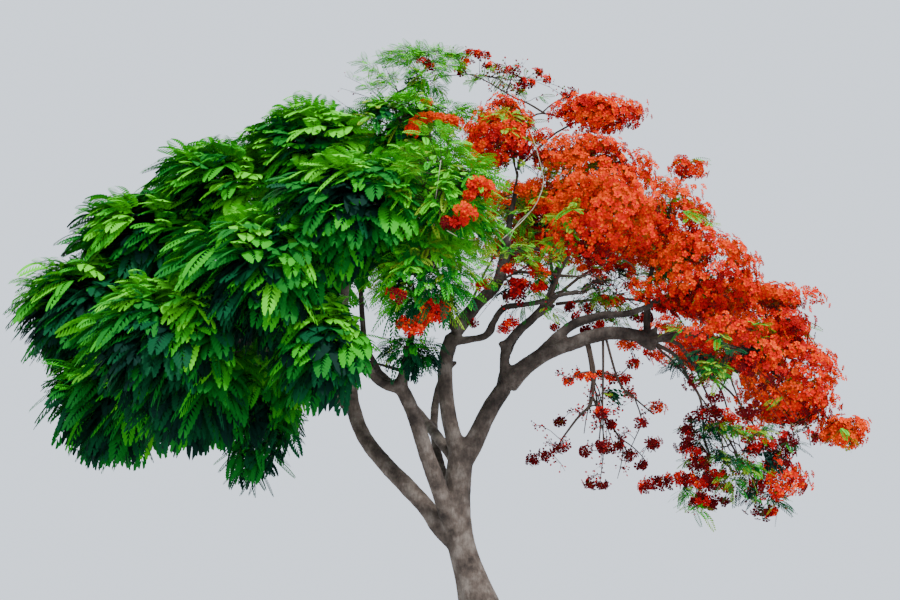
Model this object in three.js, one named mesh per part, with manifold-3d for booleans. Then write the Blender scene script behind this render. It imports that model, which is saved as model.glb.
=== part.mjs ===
// A flame tree in two halves: dense green leaf on the left, open scarlet blossom on the right.
// Millimetres, +Z up. The origin is the middle of the flat cut under the trunk, and +Y points
// away from the viewer who sees the leaf on the left. Every limb is worked out from growth legs,
// and every mass of foliage from the place of its middle and its three half sizes.
import * as THREE from 'three';
import { mergeVertices } from 'three/addons/utils/BufferGeometryUtils.js';
import Module from 'manifold-3d';

const wasm = await Module();
wasm.setup();

// Clearances.
const SEAT_GAP = 0.3;
const SPACE_MARGIN = 6;
const LIMB_MARGIN = 8;

// Trunk: the flare swells the foot below FLARE_TOP, and five root lobes die out below LOBE_TOP.
const FLARE = 215;
const FLARE_TOP = 1250;
const FLARE_POWER = 1.7;
const ROOT_LOBES = 5;
const LOBE_DEPTH = 0.13;
const LOBE_TOP = 800;
const TRUNK_SIDES = 15;
const TRUNK_STEPS = 14;
const BOUGH_SIDES = 7;
const BOUGH_STEPS_OVER_LEGS = 2;
const STEM_SIDES = 4;
const STEM_STEPS = 3;
const STEM_TO_LIMB = 0.8;

// Foliage: a spray stands for many leaves, a mound for a head of blossom. forks lists what each
// twig carries: the side it leans to, 0 for straight on, and how far back from the twig's tip.
const SPRAY = {
  length: 640, width: 270, thickness: 44, sunk: 0.02, quarter: false, lift: 0, droop: 0.22, twigs: 5,
  forks: [[0, 0.04], [1, 0.3], [-1, 0.5]],
};
const MOUND = {
  length: 440, width: 420, thickness: 210, sunk: 0.3, quarter: true, lift: 0.18, droop: -0.1, twigs: 6,
  forks: [[0, 0.02]],
};
const SMALLEST_SHARE = 0.34;
const LARGEST_SHARE = 1.2;
const FULL_SIZE_AT = 430;
const FEWER_BELOW = 0.55;
const FEWER_TWIGS = 5;
const SHRINKS = [1, 0.8, 0.62];
const TWIG_RADIUS = 15;
const STEM_RADII = [38, 14];
const FORK = 0.7;
const OUTER_LEAF = 0.95;
const SHORTEST_TWIG = 0.3;
const ROLL_SPREAD = 0.8;
const SPREAD_JITTER = 0.35;

// A stem first branches where it enters its mass's space, and last just short of its tip.
const ENTRY_STEP = 0.02;
const LATEST_ENTRY = 0.9;
const LAST_FORK = 0.98;
const FORK_LEAD = 0.3;

// The core of a dense mass: its size to the mass's, how far it stays behind the walls, its facets.
const CORE_SHARE = 0.6;
const CORE_BEHIND_WALL = 0.9;
const CORE_SEGMENTS = [7, 4];

// Each limb leaves another at a share of its length, 0 at the root and 1 at the tip. A leg is
// its length, its heading (0 along +X, 90 along +Y) and its rise over the level, in degrees.
const LIMBS = {
  trunk: {
    from: null, at: 0, radii: [175, 152], legs: [[350, 180, 77], [340, 180, 73], [280, 180, 73],
      [260, 180, 73], [300, 180, 78], [280, 180, 86], [290, 0, 87], [280, 0, 83]],
  },
  bough_right: {
    from: 'trunk', at: 0.97, radii: [112, 100], legs: [[280, 0, 56], [280, 0, 64],
      [280, 0, 61], [250, 0, 54]],
  },
  bough_right_out: {
    from: 'bough_right', at: 1, radii: [104, 76], legs: [[220, 0, 45], [250, 0, 37],
      [230, 0, 28], [220, 0, 20], [260, 0, 19], [270, 0, 11], [270, 0, -5], [220, 0, -20]],
  },
  bough_right_upright: {
    from: 'bough_right', at: 0.97, radii: [66, 44], legs: [[240, -133, 84], [250, -2, 81],
      [220, 9, 55], [240, 13, 41], [290, 18, 49], [300, 27, 63], [320, 38, 73]],
  },
  bough_right_upper: {
    from: 'bough_right_out', at: 0.28, radii: [74, 34], legs: [[320, 11, 48], [260, 11, 41],
      [220, 6, 22], [230, 0, 13], [240, -19, -2], [290, -30, 12], [290, -30, 24]],
  },
  bough_right_end: {
    from: 'bough_right_out', at: 0.99, radii: [52, 28], legs: [[320, 7, 13], [330, 7, -7],
      [320, 4, -13], [330, 0, -18]],
  },
  bough_right_rise: {
    from: 'bough_right_out', at: 0.97, radii: [50, 30], legs: [[310, 71, 78], [330, 50, 76],
      [320, 50, 72], [350, 32, 64]],
  },
  bough_back_right: {
    from: 'bough_right', at: 0.81, radii: [62, 40], legs: [[540, 78, 40], [590, 79, 40],
      [590, 70, 35], [570, 58, 34], [560, 46, 31]],
  },
  bough_centre: {
    from: 'trunk', at: 0.99, radii: [98, 88], legs: [[250, -154, 69], [240, -161, 75],
      [260, -151, 81], [270, -123, 85], [260, -42, 83], [260, -13, 71]],
  },
  bough_centre_slant: {
    from: 'bough_centre', at: 1, radii: [84, 68], legs: [[270, -7, 50], [250, -7, 49],
      [250, 0, 45], [260, 19, 70], [280, 49, 76]],
  },
  bough_centre_top: {
    from: 'bough_centre_slant', at: 1, radii: [50, 22], legs: [[360, 35, 79], [380, 40, 76],
      [370, 47, 79]],
  },
  bough_crossing: {
    from: 'bough_centre', at: 0.92, radii: [50, 30], legs: [[290, -27, 0], [180, -12, 13],
      [190, -14, 61], [200, 0, 53], [220, 5, 11], [230, 16, 13], [310, 16, 21], [290, 21, 15]],
  },
  bough_left: {
    from: 'trunk', at: 0.58, radii: [108, 82], legs: [[340, -136, 54], [350, -139, 64],
      [310, -135, 62], [300, -139, 66], [310, -142, 66], [300, -148, 60]],
  },
  bough_left_out: {
    from: 'bough_left', at: 1, radii: [66, 42], legs: [[190, -149, 0], [200, -137, 24],
      [200, -125, 43], [260, -107, 59]],
  },
  bough_left_in: {
    from: 'bough_left', at: 1, radii: [62, 36], legs: [[260, -71, 55], [350, -70, 53],
      [380, -63, 58]],
  },
  bough_far_left: {
    from: 'trunk', at: 0.55, radii: [112, 82], legs: [[320, 168, 39], [290, 157, 53],
      [440, 154, 44], [440, 154, 43], [390, 151, 50], [390, 150, 66], [520, 133, 75],
      [500, 135, 74]],
  },
  bough_far_left_out: {
    from: 'bough_far_left', at: 0.75, radii: [78, 40], legs: [[430, -172, 35], [460, -165, 34],
      [470, -166, 23], [450, -173, 22]],
  },
  bough_far_left_up: {
    from: 'bough_far_left', at: 1, radii: [80, 44], legs: [[540, 168, 62], [520, -171, 54],
      [520, -163, 47], [510, -166, 39]],
  },
  bough_top_arch: {
    from: 'bough_far_left', at: 1, radii: [64, 20], legs: [[610, 72, 85], [680, -41, 84],
      [670, -49, 79], [580, -36, 72], [660, -22, 66], [420, -16, 33]],
  },
  bough_back: {
    from: 'trunk', at: 0.79, radii: [66, 46], legs: [[400, 122, 43], [450, 106, 45],
      [520, 97, 48], [600, 86, 48], [610, 73, 47], [640, 71, 49]],
  },
  bough_back_left: {
    from: 'trunk', at: 0.95, radii: [76, 46], legs: [[470, 124, 39], [500, 112, 31],
      [600, 116, 33], [680, 120, 33], [770, 133, 36]],
  },
};

// Each mass: the limb that its stem leaves and where, the leg from there to the middle of its
// space, the half sizes of that space along X, Y and Z, and whether a core fills its inside.
const LEAF_MASSES = {
  leaves_far_left_low: {
    from: 'bough_far_left_out', at: 1, reach: [1461, -176, -28], size: [780, 900, 640], core: true,
  },
  leaves_far_left: {
    from: 'bough_far_left_out', at: 0.9, reach: [1935, 179, 15], size: [920, 1050, 660], core: true,
  },
  leaves_upper_left: {
    from: 'bough_far_left_up', at: 1, reach: [1280, -170, -18], size: [1000, 1050, 570], core: true,
  },
  leaves_shoulder: {
    from: 'bough_far_left_up', at: 0.9, reach: [710, -160, 40], size: [980, 1050, 570], core: true,
  },
  leaves_top_left: {
    from: 'bough_far_left_up', at: 0.75, reach: [1260, -39, 64], size: [980, 1000, 540], core: true,
  },
  leaves_front_left: {
    from: 'bough_far_left_out', at: 0.8, reach: [1550, -116, -3], size: [980, 850, 720], core: true,
  },
  leaves_front_mid: {
    from: 'bough_left_out', at: 1, reach: [1400, -165, 36], size: [1000, 850, 700], core: true,
  },
  leaves_front_low: {
    from: 'bough_far_left_out', at: 0.7, reach: [1351, -119, -23], size: [840, 800, 500], core: true,
  },
  leaves_hanging: {
    from: 'bough_far_left_out', at: 0.45, reach: [1001, -111, -28], size: [500, 620, 840], core: true,
  },
  leaves_front_inner: {
    from: 'bough_left_out', at: 0.9, reach: [467, -153, 15], size: [540, 520, 560], core: false,
  },
  leaves_front_upper: {
    from: 'bough_left_out', at: 0.8, reach: [1710, -107, 74], size: [960, 850, 640], core: true,
  },
  leaves_arch: {
    from: 'bough_top_arch', at: 1, reach: [233, -18, 44], size: [700, 540, 290], core: false,
  },
  leaves_top_centre: {
    from: 'bough_top_arch', at: 0.85, reach: [510, -37, -64], size: [860, 900, 480], core: false,
  },
  leaves_front_centre: {
    from: 'bough_left_in', at: 1, reach: [1310, -62, 70], size: [760, 760, 600], core: false,
  },
  leaves_centre_low: {
    from: 'bough_left_in', at: 0.9, reach: [516, -72, 61], size: [700, 640, 560], core: false,
  },
  leaves_inner_spray: {
    from: 'bough_left_in', at: 0.35, reach: [260, -74, 28], size: [400, 340, 240], core: false,
  },
  leaves_back_left: {
    from: 'bough_back_left', at: 1, reach: [2203, -177, 14], size: [1250, 1150, 800], core: true,
  },
  leaves_back_mid: {
    from: 'bough_back_left', at: 0.9, reach: [2128, 163, 53], size: [1150, 1200, 720], core: true,
  },
  leaves_back_top: {
    from: 'bough_back', at: 1, reach: [2067, 175, 72], size: [1150, 1200, 660], core: true,
  },
};
const BLOOM_MASSES = {
  bloom_arch: {
    from: 'bough_top_arch', at: 0.97, reach: [1320, -3, 4], size: [460, 400, 220], core: false,
  },
  bloom_top: {
    from: 'bough_centre_top', at: 1, reach: [1300, 8, 37], size: [560, 480, 230], core: false,
  },
  bloom_upper_left: {
    from: 'bough_centre_top', at: 0.9, reach: [520, -122, 58], size: [560, 640, 440], core: false,
  },
  bloom_upper_mid: {
    from: 'bough_right_upright', at: 1, reach: [1200, -2, 65], size: [760, 820, 500], core: false,
  },
  bloom_ball: {
    from: 'bough_right_rise', at: 1, reach: [1180, 3, 70], size: [240, 240, 190], core: false,
  },
  bloom_upper_right: {
    from: 'bough_right_rise', at: 0.9, reach: [370, -68, 65], size: [760, 850, 540], core: false,
  },
  bloom_shoulder: {
    from: 'bough_right_upper', at: 1, reach: [410, -15, 21], size: [780, 820, 600], core: false,
  },
  bloom_right: {
    from: 'bough_right_end', at: 1, reach: [580, 20, 59], size: [660, 750, 440], core: false,
  },
  bloom_right_low: {
    from: 'bough_right_end', at: 0.9, reach: [670, 0, -41], size: [680, 720, 600], core: false,
  },
  bloom_tip: {
    from: 'bough_right_end', at: 0.8, reach: [1640, 0, -40], size: [360, 400, 240], core: false,
  },
  bloom_low: {
    from: 'bough_right_out', at: 1, reach: [1686, -13, -57], size: [780, 700, 620], core: false,
  },
  bloom_hanging: {
    from: 'bough_right_out', at: 0.6, reach: [1040, 51, -76], size: [840, 560, 800], core: false,
  },
  bloom_middle: {
    from: 'bough_crossing', at: 1, reach: [1070, 62, 17], size: [740, 680, 420], core: false,
  },
  bloom_centre: {
    from: 'bough_right_upright', at: 0.85, reach: [1100, 99, 72], size: [580, 680, 470], core: false,
  },
  bloom_front_right: {
    from: 'bough_crossing', at: 0.8, reach: [1400, -67, 27], size: [760, 720, 480], core: false,
  },
  bloom_front_low: {
    from: 'bough_right_out', at: 0.96, reach: [1320, -59, -14], size: [640, 620, 480], core: false,
  },
  bloom_back_right: {
    from: 'bough_back_right', at: 1, reach: [2226, -8, -10], size: [1080, 1100, 720], core: false,
  },
  bloom_back_mid: {
    from: 'bough_back_right', at: 0.85, reach: [1538, 12, 35], size: [1080, 1150, 660], core: false,
  },
  bloom_back_centre: {
    from: 'bough_back', at: 0.9, reach: [2302, 19, 63], size: [980, 1150, 560], core: false,
  },
  bloom_inner: {
    from: 'bough_centre_slant', at: 0.62, reach: [329, -13, 22], size: [600, 560, 480], core: false,
  },
};
const MASSES = { ...LEAF_MASSES, ...BLOOM_MASSES };

const UP = new THREE.Vector3(0, 0, 1);
const NEARLY_IN_LINE = 0.99;
const GOLDEN_ANGLE = Math.PI * (3 - Math.sqrt(5));

// Seeded random numbers from 0 to 1, the same in every run.
function seeded(seed) {
  let state = seed >>> 0;
  return () => {
    state = (state + 0x6d2b79f5) >>> 0;
    let mixed = Math.imul(state ^ (state >>> 15), 1 | state);
    mixed = (mixed + Math.imul(mixed ^ (mixed >>> 7), 61 | mixed)) ^ mixed;
    return ((mixed ^ (mixed >>> 14)) >>> 0) / 4294967296;
  };
}

function stepped(point, [length, heading, rise]) {
  const h = THREE.MathUtils.degToRad(heading);
  const r = THREE.MathUtils.degToRad(rise);
  const way = new THREE.Vector3(Math.cos(h) * Math.cos(r), Math.sin(h) * Math.cos(r), Math.sin(r));
  return point.clone().addScaledVector(way, length);
}

// A closed three.js geometry as a solid that can be joined and cut.
function solidOf(geometry) {
  geometry.deleteAttribute('normal');
  geometry.deleteAttribute('uv');
  const merged = mergeVertices(geometry, 1e-3);
  return new wasm.Manifold(new wasm.Mesh({
    numProp: 3,
    vertProperties: new Float32Array(merged.attributes.position.array),
    triVerts: new Uint32Array(merged.index.array),
  }));
}

// The largest piece of a solid: loose scraps and sealed hollows are dropped.
function onePiece(solid) {
  return solid.decompose().sort((a, b) => b.volume() - a.volume())[0];
}

// The middle line of each limb, worked out outward from the foot of the trunk.
const curves = {};
for (const [name, limb] of Object.entries(LIMBS)) {
  const points = [limb.from ? curves[limb.from].getPoint(limb.at) : new THREE.Vector3()];
  for (const leg of limb.legs) {
    points.push(stepped(points[points.length - 1], leg));
  }
  curves[name] = new THREE.CatmullRomCurve3(points, false, 'catmullrom', 0.5);
}

// The middle line of each mass's stem: it leaves its limb, arches a little and ends in the middle.
const STEM_ARCH = 0.1;
for (const mass of Object.values(MASSES)) {
  const start = curves[mass.from].getPoint(mass.at);
  mass.centre = stepped(start, mass.reach);
  const bend = start.clone().lerp(mass.centre, 0.5).addScaledVector(UP, STEM_ARCH * mass.reach[0]);
  mass.stem = new THREE.CatmullRomCurve3([start, bend, mass.centre], false, 'catmullrom', 0.5);
}

function boughRadius(limb, t) {
  return limb.radii[0] + (limb.radii[1] - limb.radii[0]) * t;
}

function trunkRadius(t, angle, height) {
  const flare = FLARE * Math.max(0, 1 - height / FLARE_TOP) ** FLARE_POWER;
  const lobe = LOBE_DEPTH * Math.max(0, 1 - height / LOBE_TOP) ** 2 * Math.cos(ROOT_LOBES * angle);
  return (boughRadius(LIMBS.trunk, t) + flare) * (1 + lobe);
}

// A tapering limb: a cylinder bent along its curve. grow makes it fatter and longer all round.
function limbSolid(curve, radiusAt, sides, steps, grow = 0, flatFoot = false) {
  const rings = [];
  let side = new THREE.Vector3(0, 1, 0);
  for (let i = 0; i <= steps; i++) {
    const along = curve.getTangent(i / steps);
    if (Math.abs(along.dot(side)) > NEARLY_IN_LINE) side = new THREE.Vector3(1, 0, 0);
    side = side.clone().addScaledVector(along, -along.dot(side)).normalize();
    const middle = curve.getPoint(i / steps);
    if (i === 0) middle.addScaledVector(along, -grow);
    if (i === steps) middle.addScaledVector(along, grow);
    rings.push({ middle, along, side, across: along.clone().cross(side) });
  }
  const geometry = new THREE.CylinderGeometry(1, 1, 1, sides, steps);
  const position = geometry.attributes.position;
  const point = new THREE.Vector3();
  for (let v = 0; v < position.count; v++) {
    point.fromBufferAttribute(position, v);
    const t = point.y + 0.5;
    const ring = rings[Math.round(t * steps)];
    const radius = radiusAt(t, Math.atan2(point.x, point.z), ring.middle.z) + grow;
    const placed = ring.middle.clone()
      .addScaledVector(ring.across, point.x * radius)
      .addScaledVector(ring.side, point.z * radius);
    if (flatFoot && ring === rings[0]) placed.addScaledVector(ring.along, -placed.z / ring.along.z);
    position.setXYZ(v, placed.x, placed.y, placed.z);
  }
  return solidOf(geometry);
}

// Every limb and stem as a recipe, so that a neighbour can be cut by a slightly larger copy.
const recipes = {};
for (const [name, limb] of Object.entries(LIMBS)) {
  const trunk = name === 'trunk';
  const law = trunk ? trunkRadius : (t) => boughRadius(limb, t);
  const steps = trunk ? TRUNK_STEPS : limb.legs.length + BOUGH_STEPS_OVER_LEGS;
  recipes[name] = {
    curve: curves[name], radius: law, sides: trunk ? TRUNK_SIDES : BOUGH_SIDES, steps, flat: trunk,
  };
}
for (const [name, mass] of Object.entries(MASSES)) {
  mass.share = THREE.MathUtils.clamp(Math.min(...mass.size) / FULL_SIZE_AT,
    SMALLEST_SHARE, LARGEST_SHARE);
  const root = Math.min(STEM_RADII[0], STEM_TO_LIMB * boughRadius(LIMBS[mass.from], mass.at));
  recipes[`stem of ${name}`] = {
    curve: mass.stem, radius: (t) => root + (STEM_RADII[1] - root) * t, sides: STEM_SIDES,
    steps: STEM_STEPS,
  };
}

function made(recipe, grow = 0) {
  return limbSolid(recipe.curve, recipe.radius, recipe.sides, recipe.steps, grow, recipe.flat);
}

// Limbs and stems in order: each is cut back from the ones before it that it runs into.
const limbSolids = {};
const largerSolids = {};
function cutBack(solid, names) {
  return names.reduce((left, name) => (
    left.intersect(largerSolids[name]).volume() > 0 ? left.subtract(largerSolids[name]) : left
  ), solid);
}
for (const [name, recipe] of Object.entries(recipes)) {
  limbSolids[name] = onePiece(cutBack(made(recipe), Object.keys(limbSolids)));
  largerSolids[name] = made(recipe, SEAT_GAP);
}

// Points along every limb and stem with their radius, to keep foliage clear of them.
const LIMB_POINTS = 40;
const limbPoints = Object.entries(recipes).flatMap(([name, recipe]) => (
  Array.from({ length: LIMB_POINTS + 1 }, (_, i) => {
    const middle = recipe.curve.getPoint(i / LIMB_POINTS);
    return { name, middle, radius: recipe.radius(i / LIMB_POINTS, 0, middle.z) };
  })));

// How far an upright ellipsoid reaches from its middle along a direction's plane.
function supportOf(size, way) {
  return Math.hypot(size[0] * way.x, size[1] * way.y, size[2] * way.z);
}

// The own space of each mass: its ellipsoid, cut by planes where it meets its neighbours'.
for (const mass of Object.values(MASSES)) {
  mass.walls = [];
  for (const other of Object.values(MASSES)) {
    if (other === mass) continue;
    const way = other.centre.clone().sub(mass.centre);
    const apart = way.length();
    way.divideScalar(apart);
    const own = supportOf(mass.size, way);
    const reach = apart * own / (own + supportOf(other.size, way));
    if (reach < own + SPACE_MARGIN) mass.walls.push({ way, reach: reach - SPACE_MARGIN });
  }
}

function inSpace(mass, point) {
  const off = point.clone().sub(mass.centre);
  if (Math.hypot(off.x / mass.size[0], off.y / mass.size[1], off.z / mass.size[2]) > 1) return false;
  return mass.walls.every((wall) => off.dot(wall.way) < wall.reach);
}

function clearOfLimbs(points, stemName, thick) {
  return limbPoints.every((limb) => limb.name === stemName
    || points.every((p) => p.distanceTo(limb.middle) > limb.radius + thick + LIMB_MARGIN));
}

// A leaf spray or a blossom mound: a stretched octahedron. A spray points along its twig and is
// widest nearer its root. A mound is set a quarter round, so that its twig enters under one face.
const WIDEST_BACK = 0.2;
const BLADE_HALF_THICK = 0.25;
function bladeSolid(root, way, roll, shape, share) {
  const flat = way.clone().cross(UP).normalize().applyAxisAngle(way, roll);
  const rise = flat.clone().cross(way);
  const geometry = new THREE.OctahedronGeometry(1);
  const position = geometry.attributes.position;
  for (let v = 0; v < position.count; v++) {
    if (!shape.quarter && Math.abs(position.getY(v)) < 0.5) position.setY(v, -WIDEST_BACK);
  }
  if (shape.quarter) geometry.rotateZ(Math.PI / 4);
  const middle = root.clone().addScaledVector(way, shape.length * share * (0.5 - shape.sunk))
    .addScaledVector(rise, shape.lift * shape.thickness * share);
  geometry.applyMatrix4(new THREE.Matrix4().makeBasis(
    flat.multiplyScalar(shape.width * share / 2),
    way.clone().multiplyScalar(shape.length * share / 2),
    rise.multiplyScalar(shape.thickness * share / 2),
  ).setPosition(middle));
  const corners = Array.from({ length: position.count }, (_, v) => (
    new THREE.Vector3().fromBufferAttribute(position, v)));
  const points = [...corners, middle];
  for (const corner of corners) {
    points.push(corner.clone().lerp(middle, 0.5));
  }
  return { geometry, corners, points };
}

// A three-sided twig that tapers to a point.
function twigSolid(from, to, radius) {
  const way = to.clone().sub(from);
  const length = way.length();
  way.normalize();
  const upright = Math.abs(way.z) > NEARLY_IN_LINE;
  const flat = way.clone().cross(upright ? new THREE.Vector3(1, 0, 0) : UP).normalize();
  const geometry = new THREE.ConeGeometry(radius, length, 3, 1);
  geometry.applyMatrix4(new THREE.Matrix4().makeBasis(flat, way, flat.clone().cross(way))
    .setPosition(from.clone().lerp(to, 0.5)));
  return solidOf(geometry);
}

// The core of a dense mass: a coarse ball drawn in where a neighbour's space begins.
function coreSolid(mass) {
  const geometry = new THREE.SphereGeometry(1, ...CORE_SEGMENTS);
  const position = geometry.attributes.position;
  for (let v = 0; v < position.count; v++) {
    const off = new THREE.Vector3(position.getX(v) * mass.size[0], position.getZ(v) * mass.size[1],
      position.getY(v) * -mass.size[2]).multiplyScalar(CORE_SHARE);
    for (const wall of mass.walls) {
      const past = off.dot(wall.way) / (wall.reach * CORE_BEHIND_WALL);
      if (past > 1) off.divideScalar(past);
    }
    off.add(mass.centre);
    position.setXYZ(v, off.x, off.y, off.z);
  }
  return solidOf(geometry);
}

const TWIG_POINTS = 8;

// One mass: the first twig runs straight on from the stem and the others run out by the golden
// angle, and each carries sprays or a mound. What would leave the mass's space or touch a limb is
// skipped.
function massSolid(name, mass, shape, seed) {
  const random = seeded(seed);
  const stemName = `stem of ${name}`;
  const parts = [limbSolids[stemName]];
  let enters = 0;
  while (enters < LATEST_ENTRY && !inSpace(mass, mass.stem.getPoint(enters))) enters += ENTRY_STEP;
  if (mass.core) parts.push(coreSolid(mass));
  const twigs = mass.share < FEWER_BELOW ? FEWER_TWIGS : shape.twigs;
  for (let k = 0; k < twigs; k++) {
    const height = 1 - (2 * k + 1) / twigs;
    const turn = k * GOLDEN_ANGLE + random() * SPREAD_JITTER;
    const level = Math.sqrt(1 - height * height);
    const out = k === 0 ? mass.stem.getTangent(1)
      : new THREE.Vector3(level * Math.cos(turn), level * Math.sin(turn), height);
    const reach = 1 / Math.hypot(out.x / mass.size[0], out.y / mass.size[1], out.z / mass.size[2]);
    const forkAt = enters + (LAST_FORK - enters) * (twigs - k - FORK_LEAD) / twigs;
    const from = mass.stem.getPoint(forkAt);
    const tip = mass.centre.clone().addScaledVector(out, Math.max(SHORTEST_TWIG * reach,
      reach - shape.length * mass.share * OUTER_LEAF));
    const blades = [];
    for (const [fork, back] of shape.forks) {
      const side = out.clone().cross(UP).normalize();
      const way = out.clone().addScaledVector(side, fork * FORK).addScaledVector(UP, -shape.droop)
        .normalize();
      const roll = (random() - 0.5) * ROLL_SPREAD;
      const root = tip.clone().lerp(from, back);
      for (const shrink of SHRINKS) {
        const blade = bladeSolid(root, way, roll, shape, mass.share * shrink);
        if (blade.corners.every((p) => inSpace(mass, p))
          && clearOfLimbs(blade.points, stemName, BLADE_HALF_THICK * shape.width * mass.share)) {
          blades.push(solidOf(blade.geometry));
          break;
        }
      }
    }
    const line = Array.from({ length: TWIG_POINTS + 1 }, (_, i) => (
      from.clone().lerp(tip, i / TWIG_POINTS)));
    if (blades.length > 0 && inSpace(mass, tip) && inSpace(mass, from)
      && clearOfLimbs(line, stemName, TWIG_RADIUS)) {
      parts.push(twigSolid(from, tip, TWIG_RADIUS * Math.sqrt(mass.share)), ...blades);
    }
  }
  return parts;
}

function meshOf(name, solid, material) {
  const { vertProperties, triVerts } = solid.getMesh();
  const geometry = new THREE.BufferGeometry();
  geometry.setAttribute('position', new THREE.BufferAttribute(vertProperties, 3));
  geometry.setIndex(new THREE.BufferAttribute(triVerts, 1));
  geometry.computeVertexNormals();
  const mesh = new THREE.Mesh(geometry, material);
  mesh.name = name;
  return mesh;
}

const bark = new THREE.MeshStandardMaterial({ color: 0x75695f, roughness: 0.9, metalness: 0 });
const leaf = new THREE.MeshStandardMaterial({ color: 0x3d9422, roughness: 0.55, metalness: 0 });
const blossom = new THREE.MeshStandardMaterial({ color: 0xe23a20, roughness: 0.6, metalness: 0 });

const tree = new THREE.Group();
tree.name = 'flame_tree';
for (const name of Object.keys(LIMBS)) {
  tree.add(meshOf(name, limbSolids[name], bark));
}
Object.entries(MASSES).forEach(([name, mass], index) => {
  const leafy = name in LEAF_MASSES;
  const whole = wasm.Manifold.union(massSolid(name, mass, leafy ? SPRAY : MOUND, index + 1));
  const others = Object.keys(limbSolids).filter((limbName) => limbName !== `stem of ${name}`);
  const solid = onePiece(cutBack(whole, others));
  tree.add(meshOf(name, solid, leafy ? leaf : blossom));
});

export default tree;
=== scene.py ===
"""A flame tree in two halves: dense green frond on the left, open scarlet blossom on the right.

Metres, +Z up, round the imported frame. The limbs and the stems of the foliage masses follow the
same growth legs as the frame's solids, and each mass is carried on from its stem by the same rule
to finer twigs, fronds and blossom inside the same space.
"""
import functools
import math

import bmesh
import bpy
import numpy as np
from bpy.props import FloatProperty, FloatVectorProperty, IntProperty, PointerProperty
from mathutils import Matrix, Vector, noise


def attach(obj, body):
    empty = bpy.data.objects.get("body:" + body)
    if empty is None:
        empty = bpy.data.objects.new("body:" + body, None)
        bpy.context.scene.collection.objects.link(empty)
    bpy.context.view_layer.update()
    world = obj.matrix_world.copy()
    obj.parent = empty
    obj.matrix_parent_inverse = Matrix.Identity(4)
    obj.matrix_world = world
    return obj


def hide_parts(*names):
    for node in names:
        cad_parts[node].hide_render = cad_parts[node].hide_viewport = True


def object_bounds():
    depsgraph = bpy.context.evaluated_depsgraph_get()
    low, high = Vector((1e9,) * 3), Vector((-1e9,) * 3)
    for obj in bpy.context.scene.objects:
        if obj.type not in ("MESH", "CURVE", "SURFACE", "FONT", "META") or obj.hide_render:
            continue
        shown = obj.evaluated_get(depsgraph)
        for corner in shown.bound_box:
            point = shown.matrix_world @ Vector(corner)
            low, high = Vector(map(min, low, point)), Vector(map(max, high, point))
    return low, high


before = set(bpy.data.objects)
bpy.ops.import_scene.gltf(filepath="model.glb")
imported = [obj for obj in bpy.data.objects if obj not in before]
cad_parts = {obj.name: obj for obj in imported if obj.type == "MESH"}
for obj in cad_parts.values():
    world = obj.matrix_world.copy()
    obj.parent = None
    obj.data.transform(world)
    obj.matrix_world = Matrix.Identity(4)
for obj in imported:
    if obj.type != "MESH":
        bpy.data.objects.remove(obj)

bl_info = {
    "name": "Flame Tree",
    "version": (1, 0, 0),
    "blender": (4, 5, 0),
    "location": "View3D > Sidebar > Flame Tree",
    "description": "Grows the bark, twigs, fronds and blossom of a flame tree round its frame",
    "category": "Add Mesh",
}

CAD_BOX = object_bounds()

# The trunk's foot flares below FLARE_TOP, and five root lobes die out below LOBE_TOP.
FLARE = 0.215
FLARE_TOP = 1.25
FLARE_POWER = 1.7
ROOT_LOBES = 5
LOBE_DEPTH = 0.13
LOBE_TOP = 0.8

# The growth rule that the solids share: how a mass's first twigs run out from its stem.
TWIG_RULE = {
    "leaves": {"length": 0.64, "twigs": 5, "forks": 3},
    "bloom": {"length": 0.44, "twigs": 6, "forks": 1},
}
SMALLEST_SHARE = 0.34
LARGEST_SHARE = 1.2
FULL_SIZE_AT = 0.43
FEWER_BELOW = 0.55
FEWER_TWIGS = 5
STEM_RADII = (0.038, 0.014)
STEM_TO_BOUGH = 0.8
STEM_ARCH = 0.1
SPACE_MARGIN = 0.006
SPREAD_JITTER = 0.35
STEM_ENTERS_BY = 0.9
STEM_STEP = 0.02
LAST_TWIG_AT = 0.98
TWIG_LAG = 0.3
SHORTEST_REACH = 0.3
OUTER_LEAF = 0.95

# The finer rule: branchlets run on to a lumpy edge, and stop short for what they carry or where
# a neighbour's space begins. Shares are of the way from the middle of a mass to its edge.
AREA_POWER = 1.6075
FEWEST_TIPS = 8
LUMPS_PER_METRE = 2.2
LUMP_LEVEL = 0.5
LUMP_RISE = 0.25
LUMP_DEPTH = 0.9
FROND_ROOM = 0.62
HEAD_ROOM = 0.85
ROOM_RANGE = (0.75, 1.15)
SHORT_OF_WALL = 0.97
WALLED_IN = {"leaves": 0.72, "bloom": 0.5}
KEPT_AT_WALLS = 0.5
DEEP_RANGE = (0.4, 0.75)
DEEP_BELOW = 0.8
OVERHANG = 0.35
TWIG_BOW = 0.08
TWIG_STRAY = 0.02
BRANCHLET_STRAY = 0.05
# Where branchlets may leave a stem, a shoot and a first twig: from, to and how many places.
STEM_FORKS = (0.55, 1, 6)
SHOOT_FORKS = (0.3, 1, 9)
TWIG_FORKS = (0.25, 1, 7)
INWARD = 0.35

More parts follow.
